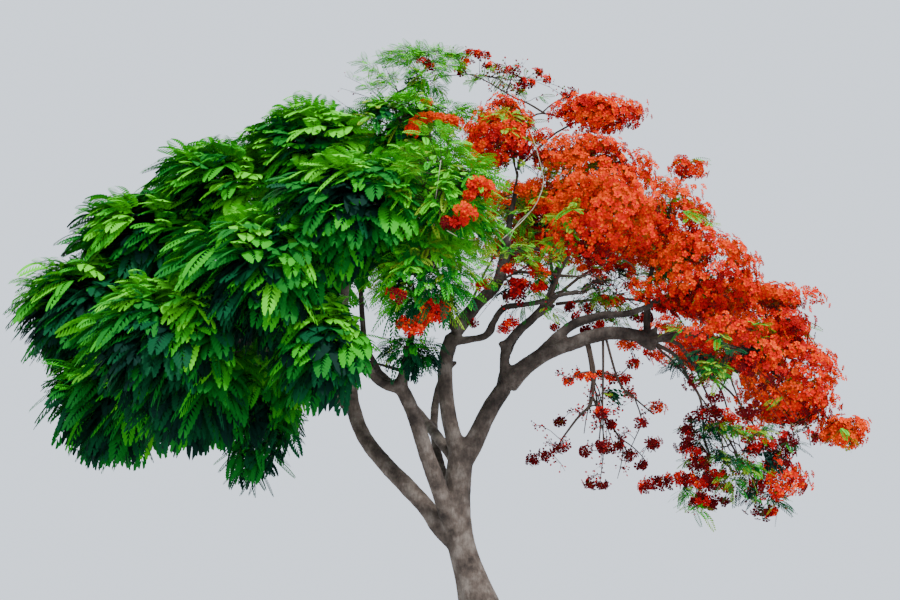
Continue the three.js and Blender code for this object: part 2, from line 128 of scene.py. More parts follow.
# Each limb: what it leaves and where, its radii at root and tip, and its growth legs. A leg is a
# length, a heading (0 along +X, 90 along +Y) and a rise over the level, in degrees.
LIMBS = {
    "trunk": (None, 0, (0.175, 0.152), (
        (0.35, 180, 77), (0.34, 180, 73), (0.28, 180, 73), (0.26, 180, 73), (0.3, 180, 78),
        (0.28, 180, 86), (0.29, 0, 87), (0.28, 0, 83),
    )),
    "bough_right": ("trunk", 0.97, (0.112, 0.1), (
        (0.28, 0, 56), (0.28, 0, 64), (0.28, 0, 61), (0.25, 0, 54),
    )),
    "bough_right_out": ("bough_right", 1, (0.104, 0.076), (
        (0.22, 0, 45), (0.25, 0, 37), (0.23, 0, 28), (0.22, 0, 20), (0.26, 0, 19), (0.27, 0, 11),
        (0.27, 0, -5), (0.22, 0, -20),
    )),
    "bough_right_upright": ("bough_right", 0.97, (0.066, 0.044), (
        (0.24, -133, 84), (0.25, -2, 81), (0.22, 9, 55), (0.24, 13, 41), (0.29, 18, 49), (0.3, 27, 63),
        (0.32, 38, 73),
    )),
    "bough_right_upper": ("bough_right_out", 0.28, (0.074, 0.034), (
        (0.32, 11, 48), (0.26, 11, 41), (0.22, 6, 22), (0.23, 0, 13), (0.24, -19, -2), (0.29, -30, 12),
        (0.29, -30, 24),
    )),
    "bough_right_end": ("bough_right_out", 0.99, (0.052, 0.028), (
        (0.32, 7, 13), (0.33, 7, -7), (0.32, 4, -13), (0.33, 0, -18),
    )),
    "bough_right_rise": ("bough_right_out", 0.97, (0.05, 0.03), (
        (0.31, 71, 78), (0.33, 50, 76), (0.32, 50, 72), (0.35, 32, 64),
    )),
    "bough_back_right": ("bough_right", 0.81, (0.062, 0.04), (
        (0.54, 78, 40), (0.59, 79, 40), (0.59, 70, 35), (0.57, 58, 34), (0.56, 46, 31),
    )),
    "bough_centre": ("trunk", 0.99, (0.098, 0.088), (
        (0.25, -154, 69), (0.24, -161, 75), (0.26, -151, 81), (0.27, -123, 85), (0.26, -42, 83),
        (0.26, -13, 71),
    )),
    "bough_centre_slant": ("bough_centre", 1, (0.084, 0.068), (
        (0.27, -7, 50), (0.25, -7, 49), (0.25, 0, 45), (0.26, 19, 70), (0.28, 49, 76),
    )),
    "bough_centre_top": ("bough_centre_slant", 1, (0.05, 0.022), (
        (0.36, 35, 79), (0.38, 40, 76), (0.37, 47, 79),
    )),
    "bough_crossing": ("bough_centre", 0.92, (0.05, 0.03), (
        (0.29, -27, 0), (0.18, -12, 13), (0.19, -14, 61), (0.2, 0, 53), (0.22, 5, 11), (0.23, 16, 13),
        (0.31, 16, 21), (0.29, 21, 15),
    )),
    "bough_left": ("trunk", 0.58, (0.108, 0.082), (
        (0.34, -136, 54), (0.35, -139, 64), (0.31, -135, 62), (0.3, -139, 66), (0.31, -142, 66),
        (0.3, -148, 60),
    )),
    "bough_left_out": ("bough_left", 1, (0.066, 0.042), (
        (0.19, -149, 0), (0.2, -137, 24), (0.2, -125, 43), (0.26, -107, 59),
    )),
    "bough_left_in": ("bough_left", 1, (0.062, 0.036), (
        (0.26, -71, 55), (0.35, -70, 53), (0.38, -63, 58),
    )),
    "bough_far_left": ("trunk", 0.55, (0.112, 0.082), (
        (0.32, 168, 39), (0.29, 157, 53), (0.44, 154, 44), (0.44, 154, 43), (0.39, 151, 50),
        (0.39, 150, 66), (0.52, 133, 75), (0.5, 135, 74),
    )),
    "bough_far_left_out": ("bough_far_left", 0.75, (0.078, 0.04), (
        (0.43, -172, 35), (0.46, -165, 34), (0.47, -166, 23), (0.45, -173, 22),
    )),
    "bough_far_left_up": ("bough_far_left", 1, (0.08, 0.044), (
        (0.54, 168, 62), (0.52, -171, 54), (0.52, -163, 47), (0.51, -166, 39),
    )),
    "bough_top_arch": ("bough_far_left", 1, (0.064, 0.02), (
        (0.61, 72, 85), (0.68, -41, 84), (0.67, -49, 79), (0.58, -36, 72), (0.66, -22, 66),
        (0.42, -16, 33),
    )),
    "bough_back": ("trunk", 0.79, (0.066, 0.046), (
        (0.4, 122, 43), (0.45, 106, 45), (0.52, 97, 48), (0.6, 86, 48), (0.61, 73, 47), (0.64, 71, 49),
    )),
    "bough_back_left": ("trunk", 0.95, (0.076, 0.046), (
        (0.47, 124, 39), (0.5, 112, 31), (0.6, 116, 33), (0.68, 120, 33), (0.77, 133, 36),
    )),
}
# Stubs, knobs and thin shoots that stand on the limbs and stems, in the same terms.
SHOOTS = {
    "drooper_inner": ("bough_right_out", 0.97, (0.026, 0.009), (
        (0.41, -8, -33), (0.3, -27, -67), (0.23, -25, -60), (0.24, -64, -77), (0.3, -108, -80),
    )),
    "drooper_outer": ("bough_right_out", 0.98, (0.028, 0.01), (
        (0.35, 7, -3), (0.33, 11, -53), (0.26, 10, -32), (0.33, 9, -40), (0.3, 13, -53),
    )),
    "drooper_long": ("drooper_inner", 1, (0.014, 0.006), (
        (0.2, 20, -74), (0.18, 151, -76), (0.2, 165, -66),
    )),
    "drooper_third": ("drooper_outer", 0.42, (0.015, 0.006), (
        (0.26, -37, -71), (0.26, -31, -69), (0.32, -51, -78), (0.27, -37, -73),
    )),
    "drooper_fourth": ("drooper_outer", 0.62, (0.014, 0.006), (
        (0.2, 30, -53), (0.23, 39, -66), (0.25, 58, -73), (0.31, 36, -71),
    )),
    "drooper_back": ("bough_right_end", 0.48, (0.024, 0.012), (
        (0.24, -31, -15), (0.25, -33, -28), (0.2, -38, -10),
    )),
    "drooper_fifth": ("drooper_back", 0.62, (0.015, 0.006), (
        (0.28, -154, -71), (0.29, -37, -77), (0.32, -25, -73), (0.35, -23, -72),
    )),
    "drooper_sixth": ("drooper_fifth", 0.28, (0.012, 0.005), (
        (0.21, 162, -62), (0.18, 158, -64), (0.22, 166, -56),
    )),
    "drooper_right": ("drooper_back", 1, (0.014, 0.006), (
        (0.33, 27, -48), (0.38, 30, -58), (0.35, 39, -64), (0.35, 58, -70),
    )),
    "drooper_far": ("drooper_right", 0.54, (0.012, 0.005), (
        (0.2, 25, -21), (0.21, 33, -45), (0.26, 52, -67),
    )),
    "drooper_tip": ("drooper_outer", 0.99, (0.012, 0.005), (
        (0.26, 14, -61), (0.25, 22, -71), (0.29, 41, -81),
    )),
    "stub_out": ("bough_right_out", 0.92, (0.074, 0.056), ((0.24, -6, -42),)),
    "stub_out_knob": ("bough_right_out", 0.98, (0.05, 0.03), ((0.2, -35, 50),)),
    "knob_upright": ("bough_right_upright", 0.3, (0.046, 0.034), ((0.13, -154, -3),)),
    "knob_crossing": ("bough_crossing", 0.27, (0.04, 0.03), ((0.11, -13, 42),)),
    "stub_back": ("bough_back", 0.83, (0.044, 0.03), ((0.2, 12, 35),)),
    "cross_twig_high": ("bough_centre_slant", 0.91, (0.032, 0.014), (
        (0.38, 9, 15), (0.58, 6, -1), (0.39, 9, 7), (0.3, 13, -27),
    )),
    "cross_twig_low": ("bough_centre_slant", 0.76, (0.024, 0.01), ((0.65, 4, -4), (0.39, 8, -2))),
    "hanger_left": ("bough_right_out", 0.6, (0.026, 0.011), (
        (0.33, 34, -78), (0.42, 82, -84), (0.28, 168, -49), (0.33, 169, -52),
    )),
    "hanger_fork": ("bough_right_out", 0.61, (0.022, 0.009), (
        (0.45, 32, -78), (0.28, 117, -78), (0.29, 17, -55), (0.31, 16, -55), (0.17, 33, -56),
    )),
    "hanger_right": ("bough_right_out", 0.7, (0.018, 0.008), (
        (0.46, 108, -86), (0.44, 128, -85), (0.38, 147, -82),
    )),
    "hanger_span": ("bough_right_out", 0.71, (0.017, 0.008), (
        (0.62, -16, -76), (0.27, -12, -48), (0.28, -12, -44),
    )),
    "hanger_middle": ("hanger_right", 0.58, (0.011, 0.005), (
        (0.36, 101, -87), (0.3, 110, -86), (0.32, 154, -81),
    )),
    "hanger_low": ("hanger_fork", 0.69, (0.01, 0.004), (
        (0.24, -17, -64), (0.21, -131, -79), (0.2, -153, -71),
    )),
    "hanger_low_right": ("hanger_fork", 0.78, (0.01, 0.004), (
        (0.19, 18, -31), (0.18, 21, -40), (0.14, 34, -52),
    )),
    "hanger_left_tip": ("hanger_left", 0.95, (0.01, 0.004), (
        (0.18, 164, -54), (0.17, 166, -41), (0.16, 169, -19),
    )),
    "hanger_cross": ("hanger_span", 0.66, (0.01, 0.004), (
        (0.27, 29, -72), (0.25, 155, -68), (0.16, 151, -60),
    )),
    "hanger_band": ("hanger_fork", 0.18, (0.01, 0.004), ((0.18, -170, -9), (0.17, -167, -38))),
    "hanger_band_right": ("hanger_right", 0.34, (0.01, 0.004), (
        (0.19, 9, -9), (0.2, 11, 40), (0.12, 18, 34),
    )),
    "top_fork": ("bough_centre_top", 0.98, (0.02, 0.008), (
        (0.4, 13, 78), (0.29, 20, 77), (0.21, 6, 36), (0.32, 4, -11),
    )),
    "fork_rise": ("top_fork", 0.76, (0.012, 0.005), ((0.2, 8, 44), (0.25, 5, 30))),
    "top_twig": ("top_fork", 0.8, (0.014, 0.006), (
        (0.26, -176, 32), (0.24, -176, 24), (0.42, 177, 34), (0.3, 178, 22),
    )),
    "top_rise": ("top_twig", 0.55, (0.01, 0.004), ((0.19, 33, 68), (0.21, 33, 69))),
    "top_side": ("top_twig", 0.95, (0.01, 0.004), ((0.14, 160, 60), (0.2, 150, 66))),
    "level_shoot": ("bough_centre_slant", 0.92, (0.028, 0.014), (
        (0.18, -21, 16), (0.21, -16, -5), (0.3, -12, -9), (0.31, -11, -3), (0.18, -20, -2),
        (0.12, -28, -3),
    )),
    "level_fork": ("level_shoot", 0.93, (0.012, 0.005), (
        (0.15, -15, -38), (0.16, -12, -31), (0.14, -20, -51),
    )),
    "level_rise": ("level_shoot", 0.93, (0.01, 0.004), (
        (0.13, -14, 25), (0.11, -17, -16), (0.12, -21, -45),
    )),
    "low_level_shoot": ("bough_right_upright", 0.91, (0.014, 0.005), (
        (0.18, -145, -1), (0.18, -148, -5), (0.19, -140, -34),
    )),
    "low_level_right": ("bough_right_upright", 0.91, (0.014, 0.005), (
        (0.25, -24, -7), (0.2, -30, -4), (0.19, -38, -33),
    )),
    "low_level_twig": ("bough_right_upright", 0.75, (0.016, 0.007), (
        (0.13, -27, 31), (0.13, -23, 5), (0.13, -23, -23), (0.13, -24, 4), (0.16, -23, 34),
    )),
    "low_left_shoot": ("bough_left_in", 0.25, (0.024, 0.01), ((0.22, 174, 18), (0.19, 174, 16))),
    "whip_long": ("bough_centre_slant", 1, (0.007, 0.004), (
        (0.51, -109, -3), (0.56, -113, -21), (0.53, -111, -15), (0.51, -109, -8),
    )),
    "whip_left": ("bough_left_in", 1, (0.007, 0.004), (
        (0.73, -45, 62), (0.28, -106, 29), (0.29, -87, 33), (0.3, -82, 36), (0.28, -82, 32),
    )),
    "whip_arc": ("whip_long", 0.12, (0.007, 0.004), ((0.37, 11, 44), (0.3, 15, 52), (0.23, 32, 65))),
    "whip_rise": ("bough_centre_slant", 0.97, (0.007, 0.004), (
        (0.35, -34, 60), (0.27, -28, 36), (0.33, -39, 62), (0.37, -126, 70), (0.31, -135, 63),
    )),
}
# Each mass: the limb its stem leaves and where, the leg to the middle of its space, the half
# sizes of that space and its habit.
LEAF_MASSES = {
    "leaves_far_left_low": ("bough_far_left_out", 1, (1.461, -176, -28), (0.78, 0.9, 0.64), "lower"),
    "leaves_far_left": ("bough_far_left_out", 0.9, (1.935, 179, 15), (0.92, 1.05, 0.66), "dense"),
    "leaves_upper_left": ("bough_far_left_up", 1, (1.28, -170, -18), (1, 1.05, 0.57), "dense"),
    "leaves_shoulder": ("bough_far_left_up", 0.9, (0.71, -160, 40), (0.98, 1.05, 0.57), "upper"),
    "leaves_top_left": ("bough_far_left_up", 0.75, (1.26, -39, 64), (0.98, 1, 0.54), "upper"),
    "leaves_front_left": ("bough_far_left_out", 0.8, (1.55, -116, -3), (0.98, 0.85, 0.72), "lower"),
    "leaves_front_mid": ("bough_left_out", 1, (1.4, -165, 36), (1, 0.85, 0.7), "dense"),
    "leaves_front_low": ("bough_far_left_out", 0.7, (1.351, -119, -23), (0.84, 0.8, 0.5), "trailing"),
    "leaves_hanging": ("bough_far_left_out", 0.45, (1.001, -111, -28), (0.5, 0.62, 0.84), "tassel"),
    "leaves_front_inner": ("bough_left_out", 0.9, (0.467, -153, 15), (0.54, 0.52, 0.56), "bold"),
    "leaves_front_upper": ("bough_left_out", 0.8, (1.71, -107, 74), (0.96, 0.85, 0.64), "bold"),
    "leaves_arch": ("bough_top_arch", 1, (0.233, -18, 44), (0.7, 0.54, 0.29), "wispy"),
    "leaves_top_centre": ("bough_top_arch", 0.85, (0.51, -37, -64), (0.86, 0.9, 0.48), "feathery"),
    "leaves_front_centre": ("bough_left_in", 1, (1.31, -62, 70), (0.76, 0.76, 0.6), "feathery"),
    "leaves_centre_low": ("bough_left_in", 0.9, (0.516, -72, 61), (0.7, 0.64, 0.56), "soft"),
    "leaves_inner_spray": ("bough_left_in", 0.35, (0.26, -74, 28), (0.4, 0.34, 0.24), "spray"),
    "leaves_back_left": ("bough_back_left", 1, (2.203, -177, 14), (1.25, 1.15, 0.8), "distant"),
    "leaves_back_mid": ("bough_back_left", 0.9, (2.128, 163, 53), (1.15, 1.2, 0.72), "distant"),
    "leaves_back_top": ("bough_back", 1, (2.067, 175, 72), (1.15, 1.2, 0.66), "distant"),
}
BLOOM_MASSES = {
    "bloom_arch": ("bough_top_arch", 0.97, (1.32, -3, 4), (0.46, 0.4, 0.22), "speckled"),
    "bloom_top": ("bough_centre_top", 1, (1.3, 8, 37), (0.56, 0.48, 0.23), "cap"),
    "bloom_upper_left": ("bough_centre_top", 0.9, (0.52, -122, 58), (0.56, 0.64, 0.44), "mixed"),
    "bloom_upper_mid": ("bough_right_upright", 1, (1.2, -2, 65), (0.76, 0.82, 0.5), "blaze"),
    "bloom_ball": ("bough_right_rise", 1, (1.18, 3, 70), (0.24, 0.24, 0.19), "cap"),
    "bloom_upper_right": ("bough_right_rise", 0.9, (0.37, -68, 65), (0.76, 0.85, 0.54), "blaze"),
    "bloom_shoulder": ("bough_right_upper", 1, (0.41, -15, 21), (0.78, 0.82, 0.6), "blaze"),
    "bloom_right": ("bough_right_end", 1, (0.58, 20, 59), (0.66, 0.75, 0.44), "blaze"),
    "bloom_right_low": ("bough_right_end", 0.9, (0.67, 0, -41), (0.68, 0.72, 0.6), "blaze"),
    "bloom_tip": ("bough_right_end", 0.8, (1.64, 0, -40), (0.36, 0.4, 0.24), "cap"),
    "bloom_low": ("bough_right_out", 1, (1.686, -13, -57), (0.78, 0.7, 0.62), "veil"),
    "bloom_hanging": ("bough_right_out", 0.6, (1.04, 51, -76), (0.84, 0.56, 0.8), "hanging"),
    "bloom_middle": ("bough_crossing", 1, (1.07, 62, 17), (0.74, 0.68, 0.42), "sparse"),
    "bloom_centre": ("bough_right_upright", 0.85, (1.1, 99, 72), (0.58, 0.68, 0.47), "mixed"),
    "bloom_front_right": ("bough_crossing", 0.8, (1.4, -67, 27), (0.76, 0.72, 0.48), "blaze"),
    "bloom_front_low": ("bough_right_out", 0.96, (1.32, -59, -14), (0.64, 0.62, 0.48), "veil"),
    "bloom_back_right": ("bough_back_right", 1, (2.226, -8, -10), (1.08, 1.1, 0.72), "rear"),
    "bloom_back_mid": ("bough_back_right", 0.85, (1.538, 12, 35), (1.08, 1.15, 0.66), "airy"),
    "bloom_back_centre": ("bough_back", 0.9, (2.302, 19, 63), (0.98, 1.15, 0.56), "mixed"),
    "bloom_inner": ("bough_centre_slant", 0.62, (0.329, -13, 22), (0.6, 0.56, 0.48), "sparse"),
}

# How a mass is dressed. tips is the number of branchlets to a square metre of its outline, deep
# the share of them that end inside it, under the height below which none grow (-1 is its foot),
# rough how lumpy its outline is and sag how far they hang. leafy is the share of tips that carry
# fronds, fronds how many each has, frond their kind and length their share of a full one. level
# is how much of their rise they keep, droop how far they bend down and pull how far they turn to
# the crown's outside. light is how much lighter they are and olive the share that are olive.
# flowering is the share of outer tips with a head of flowers, flowers the number in it, head its
# radius and red how far it turns to orange, or below 0 to wine. buds is for the number of buds,
# and stem a thinner stem's share.
# A habit's light and red shift its fronds' and petals' painted light and shade; red below 0 moves its
# petals into deeper painted shade.
DENSE = dict(tips=12, deep=0.3, under=-1, rough=0.15, sag=0.06, leafy=1, fronds=8, frond="full",
             length=1, level=1, droop=1.1, pull=0.9, light=0.08, olive=0, flowering=0, flowers=0,
             head=0, red=0, buds=0, stem=1)
BLAZE = dict(DENSE, rough=0.45, sag=0.08, leafy=0.1, fronds=7, frond="feather", length=0.6,
             level=0.35, droop=0.8, pull=0.4, light=0.5, olive=0.5, flowering=0.97, flowers=26,
             head=0.18, red=0.3, buds=0.1, stem=0.8)
FEATHERY = dict(DENSE, tips=13, deep=0.12, rough=0.3, sag=0.1, fronds=12, frond="plume",
                length=0.65, level=0.6, droop=0.9, pull=0.6, light=0.55, olive=0.15, flowers=12,
                head=0.07, red=0.1, stem=0.8)
HABITS = {
    "dense": DENSE,
    "trailing": dict(DENSE, deep=0.25, rough=0.25, sag=0.3, length=0.95, droop=1.4, pull=0.4,
                     light=0.45),
    "tassel": dict(DENSE, tips=14, deep=0.25, rough=0.1, sag=0.3, length=0.65, droop=0.8, pull=0.3,
                   light=0.4),
    "distant": dict(DENSE, tips=10, fronds=7),
    "lower": dict(DENSE, light=0.3),
    "upper": dict(DENSE, rough=0.2, light=0.5),
    "bold": dict(DENSE, rough=0.25, light=0.35),
    "feathery": FEATHERY,
    "soft": dict(FEATHERY, fronds=11, frond="feather", length=0.7, light=0.3, head=0.08),
    "spray": dict(FEATHERY, tips=26, fronds=7, length=0.5, pull=0.3, light=0.1, stem=0.6),
    "wispy": dict(FEATHERY, tips=3, deep=0.1, rough=0.5, fronds=16, frond="feather", length=0.5,
                  level=0.35, droop=0.6, pull=0.1, light=0.3, flowers=8, head=0.06, red=-0.2,
                  buds=0.3, stem=0.6),
    "blaze": BLAZE,
    "cap": dict(BLAZE, leafy=0),
    "mixed": dict(BLAZE, deep=0.2, sag=0.12, leafy=0.35, light=0.55, flowering=0.85, flowers=22,
                  head=0.14, red=0.15, buds=0.5, stem=0.7),
    "airy": dict(BLAZE, under=-0.1, leafy=0.3, light=0.55, flowering=0.85, flowers=22, head=0.14,
                 red=0),
    "rear": dict(BLAZE, tips=10, flowers=24, head=0.19),
    "speckled": dict(BLAZE, tips=16, deep=0.1, sag=0.1, leafy=0.4, fronds=5, length=0.42, droop=0.6,
                     flowering=0.4, flowers=10, head=0.07, red=-0.35, buds=1.5, stem=0.4),
    "sparse": dict(BLAZE, tips=9, deep=0.1, sag=0.12, leafy=0.5, fronds=9, length=0.42, light=0.1,
                   flowering=0.3, flowers=9, head=0.055, red=-0.4, buds=1.2, stem=0.6),
    "veil": dict(BLAZE, tips=7, deep=0.2, sag=0.25, leafy=0.25, fronds=12, length=0.5, droop=0.7,
                 pull=0.1, light=0.1, olive=0.4, flowering=0.4, flowers=11, head=0.09, red=-0.65,
                 buds=1.5, stem=0.4),
    "hanging": dict(BLAZE, tips=5, deep=0.3, sag=0.3, leafy=0, flowering=0.3, flowers=13,
                    head=0.075, red=-0.8, buds=4, stem=0.3),
}
# Heads of flowers that stand out one by one: across and down in the picture's pixels, how far in
# front of their mass's middle in shares of its depth, and how far they turn to orange, or below 0
# to wine.
# The last column shifts a head's painted light: towards orange, painted sunlight, and below 0 towards
# wine, painted shade.
LONE_HEADS = {
    "leaves_front_centre": (
        (472, 184, 0.9, 0.3), (480, 183, 0.9, 0.3), (487, 187, 0.85, 0.2), (476, 191, 0.85, 0.1),
        (469, 195, 0.85, 0), (483, 193, 0.8, 0), (463, 209, 0.9, 0.9), (469, 213, 0.9, 0.7),
        (447, 222, 0.8, -0.3), (455, 224, 0.8, -0.2), (462, 221, 0.8, 0),
    ),
    "leaves_arch": ((425, 63, 0.4, -0.5), (430, 68, 0.4, -0.5)),
    "leaves_top_centre": (
        (411, 131, 0.7, 0.9), (415, 124, 0.7, 1), (424, 119, 0.7, 1), (432, 117, 0.7, 1),
        (440, 118, 0.7, 0.8), (449, 119, 0.7, 0.4), (455, 122, 0.6, 0.2), (425, 103, 0.3, 0.3),
    ),
    "leaves_centre_low": (
        (434, 305, 0.4, 0.2), (441, 312, 0.4, 0.1), (428, 312, 0.3, 0.2), (420, 320, 0.3, 0.3),
        (409, 326, 0.3, 0.15), (416, 329, 0.3, 0.1), (434, 317, 0.4, 0.2), (403, 323, 0.3, 0),
        (398, 295, 0.8, -0.6),
    ),
    "bloom_upper_left": (
        (475, 130, 0.6, -0.1), (484, 137, 0.7, -0.2), (480, 146, 0.7, -0.3), (490, 143, 0.7, -0.3),
        (494, 130, 0.7, 0), (506, 130, 0.7, 0.4), (512, 138, 0.7, 0.3), (505, 144, 0.7, 0.2),
        (517, 132, 0.6, 0.5), (515, 147, 0.6, 0.2), (488, 158, 0.5, -0.4), (497, 160, 0.5, -0.3),
        (480, 164, 0.5, -0.4), (504, 104, 0.2, -0.4), (497, 106, 0.2, -0.5), (512, 106, 0.2, -0.4),
    ),
    "bloom_upper_mid": (
        (541, 139, 0.3, -0.3), (551, 150, 0.4, -0.1), (562, 142, 0.4, 0.1), (572, 151, 0.4, 0.1),
        (580, 161, 0.4, 0.1), (545, 160, 0.4, -0.3), (557, 164, 0.5, 0.1), (590, 139, 0.3, -0.4),
        (593, 150, 0.4, -0.4), (585, 146, 0.3, -0.3), (602, 148, 0.3, -0.1),
    ),
    "bloom_arch": (
        (478, 54, 0.3, -0.5), (486, 56, 0.3, -0.6), (489, 66, 0.3, -0.6), (461, 71, 0.3, -0.5),
        (470, 53, 0.3, -0.5), (466, 63, 0.2, -0.5), (538, 72, 0.2, -0.4), (545, 79, 0.2, -0.4),
        (531, 83, 0.2, -0.2), (521, 88, 0.2, 0), (563, 96, 0, -0.4), (571, 93, 0, -0.4),
    ),
    "bloom_top": (
        (561, 113, 0.3, -0.1), (570, 107, 0.2, 0), (581, 111, 0.4, 0), (592, 106, 0.2, 0),
        (604, 111, 0.4, 0), (615, 107, 0.2, 0), (627, 110, 0.3, 0), (632, 116, 0.3, -0.1),
        (575, 118, 0.5, 0.3), (590, 120, 0.5, 0.3), (606, 119, 0.5, 0.2), (621, 119, 0.4, -0.1),
    ),
    "bloom_centre": (
        (545, 204, 0.9, 0.1), (553, 213, 0.9, 0.1), (566, 205, 0.9, 0.3), (576, 219, 0.9, 0.2),
        (586, 209, 0.9, 0.3), (534, 186, 0.7, 0.4), (526, 192, 0.8, 0.5),
    ),
    "bloom_inner": (
        (537, 268, 0.5, 0.5), (543, 274, 0.5, 0.4), (534, 273, 0.5, 0.3), (514, 283, 0.5, 0),
        (520, 287, 0.4, -0.1), (523, 284, 0.4, 0), (535, 288, 0.4, 0.1), (541, 286, 0.4, 0.1),
        (512, 296, 0.5, -0.2), (504, 329, 0.3, 0.6), (508, 325, 0.3, 0.7), (514, 321, 0.3, 0.8),
        (474, 323, 0.3, -0.4), (480, 285, 0.3, -0.2), (486, 284, 0.3, -0.2),
    ),
    "bloom_middle": (
        (579, 262, 0.6, 0.7), (583, 268, 0.6, 0.6), (612, 266, 0.6, 0.1), (608, 270, 0.6, 0.1),
        (618, 268, 0.6, 0.1), (569, 308, 0.6, -0.1), (572, 306, 0.6, -0.1), (576, 316, 0.5, -0.2),
        (588, 308, 0.5, -0.1), (605, 300, 0.6, 0.6), (612, 303, 0.6, 0.7), (619, 300, 0.6, 0.6),
        (630, 275, 0.6, 0.5), (635, 283, 0.6, 0.4), (628, 267, 0.6, 0.5), (555, 327, 0.2, 0.5),
        (585, 330, 0.5, 0.4), (593, 328, 0.5, 0.5), (600, 324, 0.5, 0.5), (640, 319, 0.5, -0.1),
        (646, 315, 0.5, -0.2), (650, 319, 0.5, -0.2), (634, 316, 0.5, -0.1), (640, 296, 0.6, 0.4),
    ),
    "bloom_low": (
        (687, 430, 0.4, -0.1), (691, 437, 0.4, -0.1), (684, 447, 0.3, -0.1), (693, 452, 0.4, 0),
        (700, 457, 0.4, 0), (698, 464, 0.4, 0), (705, 465, 0.4, 0), (694, 420, 0.4, -0.2),
        (708, 414, 0.5, 0), (717, 413, 0.5, 0.1), (725, 416, 0.5, 0), (752, 430, 0.5, 0.2),
        (759, 435, 0.5, 0.1), (765, 443, 0.5, 0.3), (748, 440, 0.5, 0.1), (756, 449, 0.5, 0.2),
        (772, 446, 0.4, 0.5), (782, 441, 0.4, 0.5), (777, 455, 0.4, 0.6), (786, 451, 0.4, 0.6),
        (768, 465, 0.5, 0.8), (776, 464, 0.5, 0.7), (785, 463, 0.4, 0.8), (793, 469, 0.4, 0.9),
        (799, 477, 0.3, 0.9), (802, 486, 0.3, 0.7), (790, 478, 0.4, 0.9), (781, 474, 0.5, 0.9),
        (765, 479, 0.5, 0.7), (773, 484, 0.5, 1), (783, 485, 0.4, 1), (789, 490, 0.4, 0.9),
        (779, 494, 0.4, 0.8), (768, 493, 0.4, 0.7), (757, 484, 0.5, 0.4), (758, 509, 0.2, 0.2),
        (765, 513, 0.2, 0.2), (771, 511, 0.2, 0.3), (703, 501, 0.3, 0.1), (710, 505, 0.3, 0.1),
        (696, 502, 0.3, 0), (679, 477, 0.3, 0.4), (686, 482, 0.3, 0.3), (693, 478, 0.3, 0.3),
        (700, 483, 0.4, 0.1), (709, 482, 0.4, -0.1), (716, 485, 0.4, -0.1), (713, 474, 0.5, 0.1),
        (645, 487, 0.1, 0), (652, 484, 0.1, 0), (660, 483, 0.1, 0.1), (668, 482, 0.1, 0.1),
        (812, 437, 0.2, 0.3),
    ),
    "bloom_front_low": (
        (702, 342, 0.5, 0.2), (708, 348, 0.5, 0.1), (690, 335, 0.5, 0.1), (712, 330, 0.6, 0.6),
        (722, 321, 0.6, 0.7), (735, 332, 0.6, 0.7), (748, 340, 0.6, 0.5), (745, 324, 0.6, 0.8),
        (762, 346, 0.5, 0.7), (771, 356, 0.4, 0.6), (741, 365, 0.6, 0.4), (748, 371, 0.6, 0.2),
        (759, 331, 0.5, 0.7), (696, 382, 0.3, -0.2), (713, 397, 0.4, -0.2), (745, 412, 0.4, 0),
        (754, 409, 0.4, 0.1), (776, 341, 0.4, 0.7), (766, 365, 0.4, 0.5), (779, 372, 0.3, 0.5),
        (755, 358, 0.5, 0.4), (768, 382, 0.3, 0.1),
    ),
    "bloom_hanging": (
        (624, 343, 0.2, 0.8), (629, 347, 0.2, 0.7), (569, 382, 0.1, 0.5), (579, 376, 0.1, 0.6),
        (590, 377, 0.2, 0.6), (601, 376, 0.1, 0.6), (612, 378, 0.1, 0.6), (623, 380, 0.1, 0.6),
        (634, 364, 0.1, 0.5), (629, 395, 0.1, 0.35), (656, 408, 0.1, 0.35), (562, 448, 0.1, 0.1),
        (533, 460, 0.1, -0.1), (590, 483, 0.1, 0.1), (603, 484, 0.1, 0.1), (617, 445, 0.1, -0.2),
        (641, 465, 0.1, -0.1), (650, 445, 0.1, 0), (586, 452, 0.1, -0.2), (546, 456, 0.1, -0.3),
        (628, 455, 0.1, -0.3), (610, 425, 0.1, -0.3),
    ),
}
